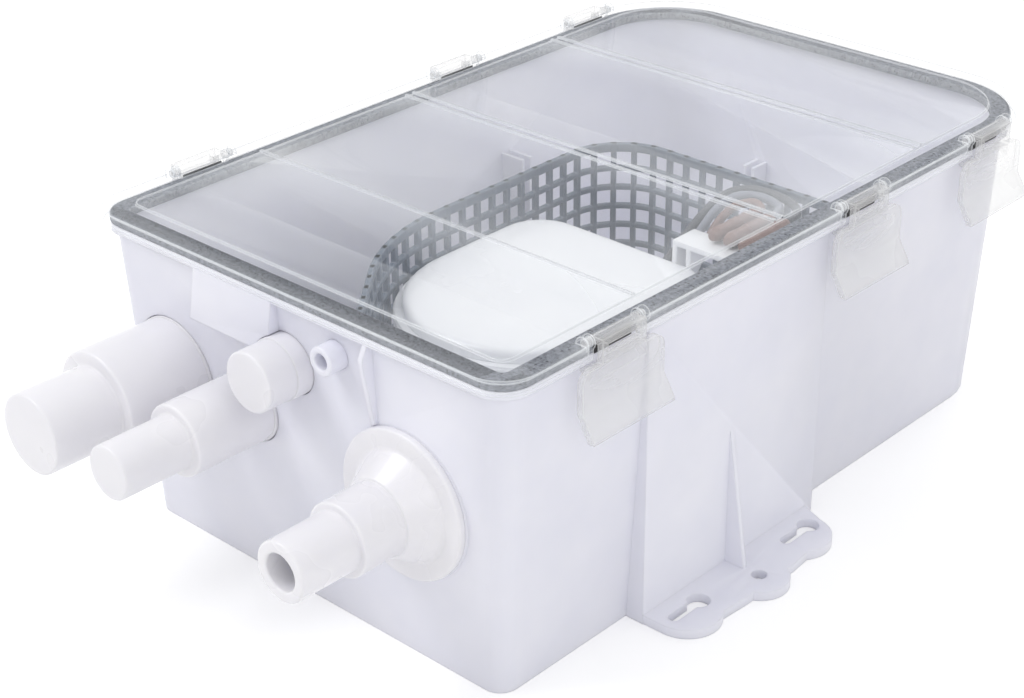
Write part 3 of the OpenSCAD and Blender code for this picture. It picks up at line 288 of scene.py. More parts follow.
def clearLid():
    # clear where it is faced; whiter where it is grazed, a painted reflection, and whiter along each edge, a
    # painted highlight
    made, tree, shader = startMaterial("lidClear")
    skin = useGroup(tree, mouldSkin, {"Colour": linear(243, 246, 250), "Deep Colour": linear(228, 233, 240),
        "Rough Low": 0.02, "Rough High": 0.06, "Drift": 0.6, "Flow Scale": 14.0})
    edges = useGroup(tree, edgeCatch, {"Low": 0.93, "High": 0.9995})
    weight = tree.nodes.new("ShaderNodeLayerWeight")
    weight.inputs["Blend"].default_value = 0.35
    # painted reflection: more of the white colour shows toward grazing angles
    paintedReflection = rangeNode(tree, weight.outputs["Facing"], 0.35, 1.0, 0.03, 0.36)
    # painted highlight: the white colour thickens along each rounded edge
    lit = mathNode(tree, "MULTIPLY", edges.outputs["Mask"], 0.7)
    path = tree.nodes.new("ShaderNodeLightPath")
    inward = mathNode(tree, "MAXIMUM", path.outputs["Is Shadow Ray"], path.outputs["Is Diffuse Ray"])
    passed = rangeNode(tree, inward, 0.0, 1.0, 1.0, 0.12)
    paintedLightVeil = mathNode(tree, "MAXIMUM", paintedReflection, lit, clamp=True)
    link(tree, mathNode(tree, "MULTIPLY", paintedLightVeil, passed), shader.inputs["Alpha"])
    link(tree, skin.outputs["Colour"], shader.inputs["Base Color"])
    link(tree, skin.outputs["Roughness"], shader.inputs["Roughness"])
    bumpInto(tree, shader, skin.outputs["Height"], 0.05, 0.04 * mm, edges.outputs["Normal"])
    shader.inputs["IOR"].default_value = 1.49
    shader.inputs["Coat Weight"].default_value = 0.6
    shader.inputs["Coat Roughness"].default_value = 0.03
    return made


def foam():
    made, tree, shader = startMaterial("gasketFoam")
    cells = useGroup(tree, foamCells, {"Dark": linear(40, 42, 48), "Middle": linear(92, 96, 105),
        "Pale": linear(134, 138, 147)})
    link(tree, cells.outputs["Colour"], shader.inputs["Base Color"])
    shader.inputs["Roughness"].default_value = 0.85
    bumpInto(tree, shader, cells.outputs["Height"], 0.3, 0.1 * mm)
    return made


def metal(name, colour, low, high, stretch=(30.0, 30.0, 2400.0), dim=0.86):
    made, tree, shader = startMaterial(name)
    marks = useGroup(tree, brushMarks, {"Low": low, "High": high, "Stretch": stretch})
    tone = blendColour(tree, marks.outputs["Height"], linear(*colour), linear(*[c * dim for c in colour]))
    link(tree, tone, shader.inputs["Base Color"])
    shader.inputs["Metallic"].default_value = 1.0
    link(tree, marks.outputs["Roughness"], shader.inputs["Roughness"])
    bumpInto(tree, shader, marks.outputs["Height"], 0.15, 0.03 * mm)
    return made


finish = {
    "box_plastic": plastic("boxPlastic", (233, 233, 242), (222, 223, 235), (0.3, 0.42), soft=0.15),
    "lid_clear": clearLid(),
    "clip_frosted": plastic("clipFrosted", (230, 230, 231), (222, 222, 225), (0.22, 0.34),
        drift=0.1, alpha=0.26, paintedGlint=0.3),
    "foam": foam(),
    "rubber": plastic("rubberBlack", (34, 34, 36), (26, 26, 28), (0.5, 0.66), bump=0.3),
    "fitting_white": plastic("fittingWhite", (234, 233, 237), (226, 225, 232), (0.24, 0.34),
        soft=0.15, coat=0.15),
    "fence_grey": plastic("fenceGrey", (92, 103, 119), (78, 89, 105), (0.38, 0.5), paintedGlint=0.1),
    "pump_white": plastic("pumpWhite", (226, 228, 232), (218, 220, 226), (0.2, 0.3), coat=0.25, soft=0.1),
    "dark_plastic": plastic("darkPlastic", (48, 52, 60), (38, 41, 48), (0.35, 0.5)),
    "steel": metal("steelBright", (205, 206, 210), 0.2, 0.36),
    "steel_dark": plastic("canPaint", (58, 60, 64), (46, 48, 52), (0.4, 0.55), bump=0.25),
    "magnet": plastic("magnetFerrite", (46, 46, 50), (36, 36, 40), (0.5, 0.7), bump=0.6, grain=1800.0),
    "copper": metal("copperWound", (190, 112, 66), 0.25, 0.4, (1200.0, 1200.0, 40.0)),
    "float_orange": plastic("floatOrange", (222, 142, 66), (206, 124, 52), (0.5, 0.64),
        bump=0.4, grain=1500.0),
    "lead_dark": plastic("leadDark", (52, 56, 66), (42, 45, 54), (0.4, 0.52)),
    "lead_grey": plastic("leadGrey", (118, 122, 136), (104, 108, 122), (0.4, 0.52)),
    "lead_brown": plastic("leadBrown", (112, 78, 68), (98, 66, 58), (0.4, 0.52)),
    "sleeve_brown": plastic("sleeveBrown", (118, 84, 74), (102, 72, 64), (0.34, 0.5), bump=0.35),
}
slotOf = {part["node"]: part["material_slot"] for part in frame["record"]["subparts"]}
bodyOf = {node: body for body, nodes in frame["record"]["behaviour"]["bodies"].items() for node in nodes}
for node, piece in frame["nodes"].items():
    piece.data.materials.clear()
    piece.data.materials.append(finish[slotOf[node]])
print("materials made:", len(finish))


# pieces


def addPiece(name, mesh, node, replaced=(), angle=32):
    # a finished mesh becomes a piece on the node's body and slot, in the node's finish if it has none yet
    piece = bpy.data.objects.new(name, mesh)
    bpy.context.scene.collection.objects.link(piece)
    if not mesh.materials:
        mesh.materials.append(finish[slotOf[node]])
    mesh.shade_smooth()
    mesh.set_sharp_from_angle(angle=math.radians(angle))
    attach(piece, bodyOf[node])
    if replaced:
        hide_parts(*replaced)
    return piece


def meshFrom(bm, name, merge=0.001 * mm):
    bmesh.ops.remove_doubles(bm, verts=bm.verts, dist=merge)
    bmesh.ops.recalc_face_normals(bm, faces=bm.faces)
    mesh = bpy.data.meshes.new(name)
    bm.to_mesh(mesh)
    bm.free()
    return mesh


def roundCorners(points, radii, steps=5, mostShare=0.49):
    # closed outline in (r, h) with its corners rounded, each by less than half of the sides that meet there
    out = []
    count = len(points)
    for i, radius in enumerate(radii):
        here = Vector(points[i])
        before = Vector(points[i - 1]) - here
        after = Vector(points[(i + 1) % count]) - here
        if radius <= 0:
            out.append(tuple(here))
            continue
        half = before.angle(after) / 2
        back = min(radius / math.tan(half), before.length * mostShare, after.length * mostShare)
        start, end = here + before.normalized() * back, here + after.normalized() * back
        for k in range(steps + 1):
            t = k / steps
            out.append(tuple((1 - t) ** 2 * start + 2 * t * (1 - t) * here + t * t * end))
    return out


def turned(name, outline, place, node, replaced, steps=112):
    # outline of (r, h) in mm turned about an axis that points out of the port wall
    bm = bmesh.new()
    rings = []
    for r, h in outline:
        if r <= 0:
            rings.append([bm.verts.new((place[0] * mm, (place[1] - h) * mm, place[2] * mm))] * steps)
            continue
        rings.append([bm.verts.new(((place[0] + r * math.cos(a)) * mm, (place[1] - h) * mm,
            (place[2] + r * math.sin(a)) * mm)) for a in (2 * math.pi * k / steps for k in range(steps))])
    for i in range(len(rings)):
        one, two = rings[i], rings[(i + 1) % len(rings)]
        for k in range(steps):
            corners = []
            for vert in (one[k], one[(k + 1) % steps], two[(k + 1) % steps], two[k]):
                if vert not in corners:
                    corners.append(vert)
            if len(corners) > 2:
                bm.faces.new(corners)
    return addPiece(name, meshFrom(bm, name), node, replaced, angle=40)


def axisOf(node):
    # axis place and reach of a round node along Y, in mm
    low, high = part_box(node)
    return ((low[0] + high[0]) / 2 / mm, high[1] / mm, (low[2] + high[2]) / 2 / mm), (high[1] - low[1]) / mm


# blanked inlets, each with a step, rounded ends and a moulded ring at the wall
inletValues = {
    "inlet_spigot_large": {"body": 19.05, "tip": 14.3, "tipLength": 26.5, "shank": 12.8},
    "inlet_spigot_medium": {"body": 12.7, "tip": 9.525, "tipLength": 26.5, "shank": 12.6},
    "inlet_spigot_small": {"body": 10.5, "tip": 0.0, "tipLength": 0.8, "shank": 18.8},
}
inletShape = {
    "wall": 2.2, "collar": 3.2, "collarLength": 2.6, "endRound": 0.9, "stepRound": 1.1, "foot": 0.9,
    "rise": 0.4, "rootRounds": [0.3, 0.6, 0.6, 0.4, 0.3, 0.0], "inside": 0.5,
}


def makeInlet(node, v, s):
    place, reach = axisOf(node)
    r, tip, wall = v["body"], v["tip"], s["wall"]
    shoulder, shank = reach - v["tipLength"], r + s["rise"]
    root = [(r - wall, 0), (r + s["collar"], 0), (r + s["collar"], s["collarLength"]),
        (shank, s["collarLength"]), (shank, v["shank"]), (r, v["shank"])]
    if tip:
        points = root + [(r, shoulder), (tip, shoulder), (tip, reach), (0, reach), (0, reach - wall),
            (tip - wall, reach - wall), (tip - wall, shoulder - wall), (r - wall, shoulder - wall)]
        radii = s["rootRounds"] + [s["stepRound"], s["foot"], s["endRound"], 0, 0] + 3 * [s["inside"]]
    else:
        points = root + [(r, reach), (0, reach), (0, reach - wall), (r - wall, reach - wall)]
        radii = s["rootRounds"] + [s["endRound"], 0, 0, s["inside"]]
    name = "inlet" + node.split("_")[-1].capitalize()
    turned(name, roundCorners(points, radii), place, node, [node])


for node, values in inletValues.items():
    makeInlet(node, values, inletShape)
print("inlets turned")

# open outlet: flange, cone, two hose steps and the valve chamber behind the bore
outletValues = {
    "sleeve": 14.0, "sleeveLength": 17.0, "flange": 26.0, "flangeThick": 2.5, "cone": 19.5, "coneEnd": 13.5,
    "coneLength": 12.0, "middle": 12.7, "middleLength": 29.0, "tip": 10.3, "bore": 6.3, "chamber": 10.2,
    "chamberLength": 26.0, "plug": 11.05, "plugLength": 6.0, "coneFoot": 0.1,
    "rounds": [0.3, 0.4, 0, 0.5, 1.0, 1.8, 0.7, 0.5, 0.9, 0.5, 0.9, 0.8, 0, 0.6, 0, 0],
}


def makeOutlet(v):
    place, reach = axisOf("discharge_fitting")
    seat = v["sleeveLength"]
    face, coneTop, step = seat + v["flangeThick"], seat + v["coneLength"], seat + v["middleLength"]
    deep, plugTop = seat + v["chamberLength"], seat + v["plugLength"]
    outside = [(v["plug"], 0), (v["sleeve"], 0), (v["sleeve"], seat), (v["flange"], seat),
        (v["flange"], face), (v["cone"], face), (v["coneEnd"], coneTop),
        (v["middle"], coneTop + v["coneFoot"]), (v["middle"], step), (v["tip"], step), (v["tip"], reach)]
    inside = [(v["bore"], reach), (v["bore"], deep), (v["chamber"], deep), (v["chamber"], plugTop),
        (v["plug"], plugTop)]
    outline = roundCorners(outside + inside, v["rounds"])
    turned("outletFitting", outline, place, "discharge_fitting", ["discharge_fitting"])


makeOutlet(outletValues)

glandValues = {
    "outer": 5.0, "bore": 2.75, "collar": 7.6, "collarLength": 2.6, "rounds": [0.3, 0.5, 0.5, 0.4, 0.7, 0.7],
    "steps": 72,
}


def makeGland(v):
    place, reach = axisOf("cable_gland")
    points = [(v["bore"], 0), (v["collar"], 0), (v["collar"], v["collarLength"]),
        (v["outer"], v["collarLength"]), (v["outer"], reach), (v["bore"], reach)]
    outline = roundCorners(points, v["rounds"])
    turned("cableGland", outline, place, "cable_gland", ["cable_gland"], v["steps"])


makeGland(glandValues)
print("outlet and gland turned")


# rounded copies of moulded nodes


softenValues = {"merge": 0.002, "flat": 0.6, "segments": 2, "angle": 38, "mostOff": 0.2, "sharp": 34}


def soften(node, name, width, v):
    # merged copy of a CAD node with small rounded edges; left unrounded if they would change its box
    source = frame["nodes"][node]
    low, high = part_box(node)
    bm = bmesh.new()
    bm.from_mesh(source.data)
    bmesh.ops.remove_doubles(bm, verts=bm.verts, dist=v["merge"] * mm)
    bmesh.ops.dissolve_limit(bm, angle_limit=math.radians(v["flat"]), verts=bm.verts, edges=bm.edges)
    mesh = bpy.data.meshes.new(name)
    bm.to_mesh(mesh)
    bm.free()
    work = bpy.data.objects.new(name + "Work", mesh)
    bpy.context.scene.collection.objects.link(work)
    mod = work.modifiers.new("edges", "BEVEL")
    mod.width, mod.segments = width * mm, v["segments"]
    mod.limit_method, mod.angle_limit = "ANGLE", math.radians(v["angle"])
    mod.use_clamp_overlap, mod.miter_outer = True, "MITER_ARC"
    bpy.context.view_layer.update()
    rounded = bpy.data.meshes.new_from_object(work.evaluated_get(bpy.context.evaluated_depsgraph_get()))
    sides = list(zip(*[vert.co for vert in rounded.vertices]))
    off = max(max(abs(min(side) - low[i]), abs(max(side) - high[i])) for i, side in enumerate(sides))
    bpy.data.objects.remove(work)
    if off > v["mostOff"] * mm:
        print("edges left plain on", node, round(off / mm, 2))
        rounded = mesh
    rounded.name = name
    rounded.materials.clear()
    addPiece(name, rounded, node, [node], angle=v["sharp"])


softened = {
    "sump_box": ("sumpBox", 0.45), "lid": ("clearLid", 0.35),
    "clip_front_right": ("clipFrontRight", 0.3), "clip_mid_right": ("clipMidRight", 0.3),
    "clip_rear_right": ("clipRearRight", 0.3), "clip_front_left": ("clipFrontLeft", 0.3),
    "clip_mid_left": ("clipMidLeft", 0.3), "clip_rear_left": ("clipRearLeft", 0.3),
    "pump_body": ("pumpBody", 0.3), "discharge_locknut": ("outletNut", 0.5), "float_arm": ("floatArm", 0.8),
    "float_bracket": ("floatBracket", 0.25), "float_switch": ("floatSwitch", 0.4),
    "pump_base": ("pumpBase", 0.3), "lid_gasket": ("lidGasket", 0.5),
}
for node, (name, width) in softened.items():
    soften(node, name, width, softenValues)
print("moulded pieces softened:", len(softened))


# dark strip beside the gasket that shows through the window of each clip, a piece of this scene alone:
# painted shade, a dark sheet where the window shows only shade
windowShadeValues = {
    "inner": 0.05, "outer": 0.55, "half": 8.6, "low": 113.85, "high": 117.2, "places": (-103.0, 26.0, 104.5),
}


def makeWindowShade(v):
    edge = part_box("lid_gasket")[1][0] / mm
    bm = bmesh.new()
    for side in (-1, 1):
        for y in v["places"]:
            across = (edge + v["outer"] + edge + v["inner"]) / 2
            place = Matrix.Translation((side * across * mm, y * mm, (v["low"] + v["high"]) / 2 * mm))
            spans = (v["outer"] - v["inner"], 2 * v["half"], v["high"] - v["low"])
            size = Matrix.Diagonal([span * mm for span in spans] + [1.0])
            # each box is painted shade laid over the side of the gasket
            bmesh.ops.create_cube(bm, size=1.0, matrix=place @ size)
    mesh = meshFrom(bm, "paintedShadeStrips")
    # the seals are named here only for their body and their rubber slot
    addPiece("paintedShadeStrips", mesh, "inlet_seals")


makeWindowShade(windowShadeValues)

# pump cover

pumpValues = {
    "x": 20.0, "y": -58.0, "radius": 46.5, "back": 55.0, "corner": 20.0, "leastCorner": 1.0,
    "arc": 96, "cornerArc": 20, "side": 6,
}


def pumpOutline(inset, v):
    # round in front, flat behind, with a rounded corner on each side, the same count of points at any inset
    w, rc = v["radius"] - inset, max(v["corner"] - inset, v["leastCorner"])
    yb = v["y"] + v["back"] - inset
    points = []
    for k in range(v["side"]):
        points.append((v["x"] + w, v["y"] + (yb - rc - v["y"]) * k / v["side"]))
    for k in range(v["cornerArc"] + 1):
        a = math.pi / 2 * k / v["cornerArc"]
        points.append((v["x"] + w - rc + rc * math.cos(a), yb - rc + rc * math.sin(a)))
    for k in range(1, v["side"] + 1):
        points.append((v["x"] + (w - rc) * (1 - 2 * k / v["side"]), yb))
    for k in range(1, v["cornerArc"] + 1):
        a = math.pi / 2 * (1 + k / v["cornerArc"])
        points.append((v["x"] - w + rc + rc * math.cos(a), yb - rc + rc * math.sin(a)))
    for k in range(1, v["side"] + 1):
        points.append((v["x"] - w, yb - rc - (yb - rc - v["y"]) * k / v["side"]))
    for k in range(1, v["arc"]):
        a = math.pi * (1 + k / v["arc"])
        points.append((v["x"] + w * math.cos(a), v["y"] + w * math.sin(a)))
    return points


# inset and height of each ring of the cover, outside from its foot to its crown, then inside
coverRings = [(3.0, 85.0), (3.0, 86.4), (3.08, 87.4), (3.3, 88.3), (3.75, 89.0), (4.5, 89.5), (5.6, 89.78),
    (7.4, 89.92), (10.5, 89.98), (16.0, 90.0)]
coverInner = [(16.0, 87.3), (6.4, 87.3), (5.6, 86.6), (5.4, 85.0)]


def makeCover(outer, inner, v):
    bm = bmesh.new()
    rings = [[bm.verts.new((x * mm, y * mm, z * mm)) for x, y in pumpOutline(g, v)] for g, z in outer + inner]
    count = len(rings[0])
    for i in range(len(rings)):
        if i == len(outer) - 1:
            continue
        one, two = rings[i], rings[(i + 1) % len(rings)]
        for k in range(count):
            bm.faces.new((one[k], one[(k + 1) % count], two[(k + 1) % count], two[k]))
    bm.faces.new(rings[len(outer) - 1])
    bm.faces.new(list(reversed(rings[len(outer)])))
    addPiece("pumpCover", meshFrom(bm, "pumpCover"), "pump_cover", ["pump_cover"], angle=40)


makeCover(coverRings, coverInner, pumpValues)
print("pump cover made")


# geometry node trees


def newTree(name, inputs):
    tree = bpy.data.node_groups.new(name, "GeometryNodeTree")
    tree.interface.new_socket(name="Geometry", in_out="INPUT", socket_type="NodeSocketGeometry")
    for label, kind, value in inputs:
        socket = tree.interface.new_socket(name=label, in_out="INPUT", socket_type=kind)
        if value is not None:
            socket.default_value = value
    tree.interface.new_socket(name="Geometry", in_out="OUTPUT", socket_type="NodeSocketGeometry")
    return tree, tree.nodes.new("NodeGroupInput"), tree.nodes.new("NodeGroupOutput")


def runTree(tree, source, values):
    # runs the tree on an object and hands back a plain mesh, with the modifier gone
    mod = source.modifiers.new(tree.name, "NODES")
    mod.node_group = tree
    for item in tree.interface.items_tree:
        if item.in_out == "INPUT" and item.name in values:
            mod[item.identifier] = values[item.name]
    bpy.context.view_layer.update()
    mesh = bpy.data.meshes.new_from_object(source.evaluated_get(bpy.context.evaluated_depsgraph_get()))
    source.modifiers.remove(mod)
    bpy.data.objects.remove(source)
    return mesh


def pathObject(name, points, closed=False):
    curve = bpy.data.curves.new(name, "CURVE")
    curve.dimensions = "3D"
    spline = curve.splines.new("POLY")
    spline.points.add(len(points) - 1)
    for spot, p in zip(spline.points, points):
        spot.co = (p[0] * mm, p[1] * mm, p[2] * mm, 1.0)
    spline.use_cyclic_u = closed
    made = bpy.data.objects.new(name, curve)
    bpy.context.scene.collection.objects.link(made)
    return made


# strainer fence: bars at an even pitch along the route, rails at an even pitch up it
fenceValues = {
    "startX": 19.0, "startY": -139.5, "sideX": -31.0, "bendY": -78.0, "rearY": 46.5, "endX": 82.6,
    "frontRadius": 80.0, "rearRadius": 24.0, "foot": 3.0, "height": 99.0, "thick": 2.2, "bar": 2.1,
    "rim": 3.4, "round": 0.4, "rows": 12, "columns": 39, "arcSteps": 24,
}


def fenceRoute(v):
    sx, sy = v["startX"], v["startY"]
    slant = math.atan2(v["bendY"] - sy, v["sideX"] - sx)
    turn = slant - math.pi / 2
    cut = v["frontRadius"] * math.tan(turn / 2)
    points = [(sx, sy)]
    cx, cy = v["sideX"] + v["frontRadius"], v["bendY"] + cut
    for k in range(v["arcSteps"] + 1):
        a = math.pi + turn * (1 - k / v["arcSteps"])
        points.append((cx + v["frontRadius"] * math.cos(a), cy + v["frontRadius"] * math.sin(a)))
    cx, cy = v["sideX"] + v["rearRadius"], v["rearY"] - v["rearRadius"]
    for k in range(v["arcSteps"] + 1):
        a = math.pi - math.pi / 2 * k / v["arcSteps"]
        points.append((cx + v["rearRadius"] * math.cos(a), cy + v["rearRadius"] * math.sin(a)))
    points.append((v["endX"], v["rearY"]))
    return [(x, y, 0.0) for x, y in points]


def roundedBar(tree, width, depth, radius):
    # filleted rectangle as a profile curve
    quad = tree.nodes.new("GeometryNodeCurvePrimitiveQuadrilateral")
    for label, value in (("Width", width), ("Height", depth)):
        link(tree, value, quad.inputs[label])
    round_ = tree.nodes.new("GeometryNodeFilletCurve")
    round_.mode = "POLY"
    link(tree, quad.outputs[0], round_.inputs["Curve"])
    link(tree, radius, round_.inputs["Radius"])
    round_.inputs["Count"].default_value = 2
    return round_.outputs[0]


def fenceTree():
    tree, into, out = newTree("fenceGrid",
        [("Thickness", "NodeSocketFloat", 0.002), ("Bar", "NodeSocketFloat", 0.002),
         ("Height", "NodeSocketFloat", 0.1), ("Rim", "NodeSocketFloat", 0.003),
         ("Round", "NodeSocketFloat", 0.0004), ("Columns", "NodeSocketInt", 39),
         ("Rows", "NodeSocketInt", 12), ("Foot", "NodeSocketFloat", 0.003),
         ("Material", "NodeSocketMaterial", None)])
    join = tree.nodes.new("GeometryNodeJoinGeometry")

    def sweep(path, profile):
        node = tree.nodes.new("GeometryNodeCurveToMesh")
        link(tree, path, node.inputs["Curve"])
        link(tree, profile, node.inputs["Profile Curve"])
        node.inputs["Fill Caps"].default_value = True
        return node.outputs[0]

    def lift(geometry, height):
        move = tree.nodes.new("GeometryNodeTransform")
        offset = tree.nodes.new("ShaderNodeCombineXYZ")
        link(tree, height, offset.inputs["Z"])
        link(tree, geometry, move.inputs["Geometry"])
        link(tree, offset.outputs[0], move.inputs["Translation"])
        return move.outputs[0]

    thicknessIn, barIn, heightIn = (into.outputs[label] for label in ("Thickness", "Bar", "Height"))
    rimIn, roundIn, footIn, rowsIn = (into.outputs[label] for label in ("Rim", "Round", "Foot", "Rows"))
    up = tree.nodes.new("GeometryNodeSetCurveNormal")
    up.mode = "Z_UP"
    link(tree, into.outputs["Geometry"], up.inputs["Curve"])
    path = up.outputs[0]
    rim = sweep(path, roundedBar(tree, thicknessIn, rimIn, roundIn))
    half = mathNode(tree, "MULTIPLY", rimIn, 0.5)
    link(tree, lift(rim, mathNode(tree, "ADD", footIn, half)), join.inputs[0])
    top = mathNode(tree, "SUBTRACT", mathNode(tree, "ADD", footIn, heightIn), half)
    link(tree, lift(rim, top), join.inputs[0])
    rail = sweep(path, roundedBar(tree, thicknessIn, barIn, roundIn))
    inner = mathNode(tree, "SUBTRACT", heightIn, mathNode(tree, "MULTIPLY", rimIn, 2.0))
    pitch = mathNode(tree, "DIVIDE", mathNode(tree, "ADD", inner, barIn), rowsIn)
    steps = tree.nodes.new("GeometryNodeMeshLine")
    gap = tree.nodes.new("ShaderNodeCombineXYZ")
    link(tree, pitch, gap.inputs["Z"])
    link(tree, gap.outputs[0], steps.inputs["Offset"])
    link(tree, mathNode(tree, "SUBTRACT", rowsIn, 1.0), steps.inputs["Count"])
    rails = tree.nodes.new("GeometryNodeInstanceOnPoints")
    link(tree, steps.outputs[0], rails.inputs["Points"])
    link(tree, rail, rails.inputs["Instance"])
    first = mathNode(tree, "ADD", mathNode(tree, "ADD", footIn, rimIn),
        mathNode(tree, "SUBTRACT", pitch, mathNode(tree, "MULTIPLY", barIn, 0.5)))
    link(tree, lift(rails.outputs[0], first), join.inputs[0])
    stick = tree.nodes.new("GeometryNodeCurvePrimitiveLine")
    endPoint = tree.nodes.new("ShaderNodeCombineXYZ")
    link(tree, heightIn, endPoint.inputs["Z"])
    link(tree, endPoint.outputs[0], stick.inputs["End"])
    bar = sweep(stick.outputs[0], roundedBar(tree, barIn, thicknessIn, roundIn))
    spots = tree.nodes.new("GeometryNodeCurveToPoints")
    link(tree, path, spots.inputs["Curve"])
    link(tree, into.outputs["Columns"], spots.inputs["Count"])
    flat = tree.nodes.new("FunctionNodeAlignRotationToVector")
    flat.axis = "X"
    link(tree, spots.outputs["Tangent"], flat.inputs["Vector"])
    bars = tree.nodes.new("GeometryNodeInstanceOnPoints")
    link(tree, spots.outputs["Points"], bars.inputs["Points"])
    link(tree, bar, bars.inputs["Instance"])
    link(tree, flat.outputs[0], bars.inputs["Rotation"])
    link(tree, lift(bars.outputs[0], footIn), join.inputs[0])
    real = tree.nodes.new("GeometryNodeRealizeInstances")
    paint = tree.nodes.new("GeometryNodeSetMaterial")
    link(tree, join.outputs[0], real.inputs[0])
    link(tree, real.outputs[0], paint.inputs["Geometry"])
    link(tree, into.outputs["Material"], paint.inputs["Material"])
    link(tree, paint.outputs[0], out.inputs["Geometry"])
    return tree


def makeFence(v):
    mesh = runTree(fenceTree(), pathObject("fenceRoute", fenceRoute(v)),
        {"Thickness": v["thick"] * mm, "Bar": v["bar"] * mm, "Height": v["height"] * mm, "Rim": v["rim"] * mm,
         "Round": v["round"] * mm, "Columns": v["columns"] + 1, "Rows": v["rows"], "Foot": v["foot"] * mm,
         "Material": finish["fence_grey"]})
    piece = addPiece("strainerFence", mesh, "strainer_fence", ["strainer_fence"])
    print("fence:", len(mesh.vertices), "points, box", [round(d / mm, 1) for d in piece.dimensions])


makeFence(fenceValues)


# pump leads

leadValues = {"diameter": 3.2, "steps": 6, "sides": 16, "aside": (0.3, 0.1, 1.0)}
leadRoutes = {
    "dark": [(26.6, -2, 79), (26.6, 4, 79), (26.6, 6, 79), (26.8, 13, 82.5), (27.4, 22, 89), (29, 31, 95),
        (33, 38, 99), (40, 42.4, 100), (50, 43, 100), (58.6, 40, 100), (64, 34, 100), (65.4, 26, 100)],
    "grey": [(32, -2, 79), (32, 4, 79), (32, 6, 79), (32, 12, 82.5), (32.2, 20, 89), (33, 28, 95),
        (36.5, 34.6, 99), (43, 38, 100), (50, 38, 100), (56, 34.6, 100), (59, 26, 100)],
    "brown": [(37.4, -2, 79), (37.4, 4, 79), (37.4, 6, 79), (37.5, 11, 82), (37.8, 17, 88), (38.4, 23, 94),
        (40.4, 29, 98), (45.6, 32.6, 100), (50.6, 31, 100), (52.6, 26, 100)],
}
sleeveValues = {
    "diameter": 5.4, "length": 26.0, "crimps": 0.16, "mouth": 0.25, "shoulder": 2.2, "end": 2.6,
    "crimpHeights": [(6.5, 8.2, 9.6, 11.2), (15.0, 16.6, 18.0, 19.6)], "crimpRounds": [0.8, 0.7, 0.7, 0.8],
    "endRound": 0.3, "shoulderRound": 0.9, "arcSteps": 3, "sides": 40,
}


def smoothRoute(points, steps):
    # curve through every point of the route
    p = [Vector(q) for q in points]
    out = []
    for i in range(len(p) - 1):
        a, b, c, d = p[max(i - 1, 0)], p[i], p[i + 1], p[min(i + 2, len(p) - 1)]
        for k in range(steps):
            t = k / steps
            out.append(0.5 * (2 * b + (c - a) * t + (2 * a - 5 * b + 4 * c - d) * t * t
                + (3 * b - a - 3 * c + d) * t ** 3))
    return out + [p[-1]]


def sweptTube(name, route, radius, sides, aside, node, replaced):
    # tube along the route, square at both ends
    bm = bmesh.new()
    rings = []
    for i, p in enumerate(route):
        ahead = Vector((0, 1, 0)) if i == 0 else Vector((0, -1, 0))
        if 0 < i < len(route) - 1:
            ahead = (route[i + 1] - route[i - 1]).normalized()
        u = ahead.cross(Vector(aside)).normalized()
        w = ahead.cross(u)
        rings.append([bm.verts.new((p + radius * (math.cos(2 * math.pi * k / sides) * u
            + math.sin(2 * math.pi * k / sides) * w)) * mm) for k in range(sides)])
    for one, two in zip(rings, rings[1:]):
        for k in range(sides):
            bm.faces.new((one[k], one[(k + 1) % sides], two[(k + 1) % sides], two[k]))
    bm.faces.new(rings[0])
    bm.faces.new(rings[-1])
    return addPiece(name, meshFrom(bm, name), node, replaced, angle=50)


def makeLead(tone, points, v, s):
    route = smoothRoute(points, v["steps"])
    node = "pump_lead_" + tone
    lead = sweptTube("lead" + tone.capitalize(), route, v["diameter"] / 2, v["sides"], v["aside"], node,
        [node])
    r, wide, long = v["diameter"] / 2, s["diameter"] / 2, s["length"]
    outline = [(0, 0), (r + s["mouth"], 0), (wide, s["shoulder"])]
    radii = [0, s["endRound"], s["shoulderRound"]]
    for start, inStart, inEnd, end in s["crimpHeights"]:
        narrow = wide - s["crimps"]
        outline += [(wide, start), (narrow, inStart), (narrow, inEnd), (wide, end)]
        radii += s["crimpRounds"]
    outline += [(wide, long - s["end"]), (r, long), (0, long)]
    radii += [s["shoulderRound"], s["endRound"], 0]
    rounded = roundCorners(outline, radii, s["arcSteps"])
    sleeve = turned("sleeve" + tone.capitalize(), rounded, points[-1], "lead_connectors", ["lead_connectors"],
        s["sides"])


for tone, points in leadRoutes.items():
    makeLead(tone, points, leadValues, sleeveValues)


# clamp slots: a row of short ribs pressed into the band of each hose clamp
clampValues = {
    "x": 48.8, "radius": 13.5, "count": 44, "length": 4.6, "wide": 0.7, "thick": 0.3, "bandWidth": 8.0,
}


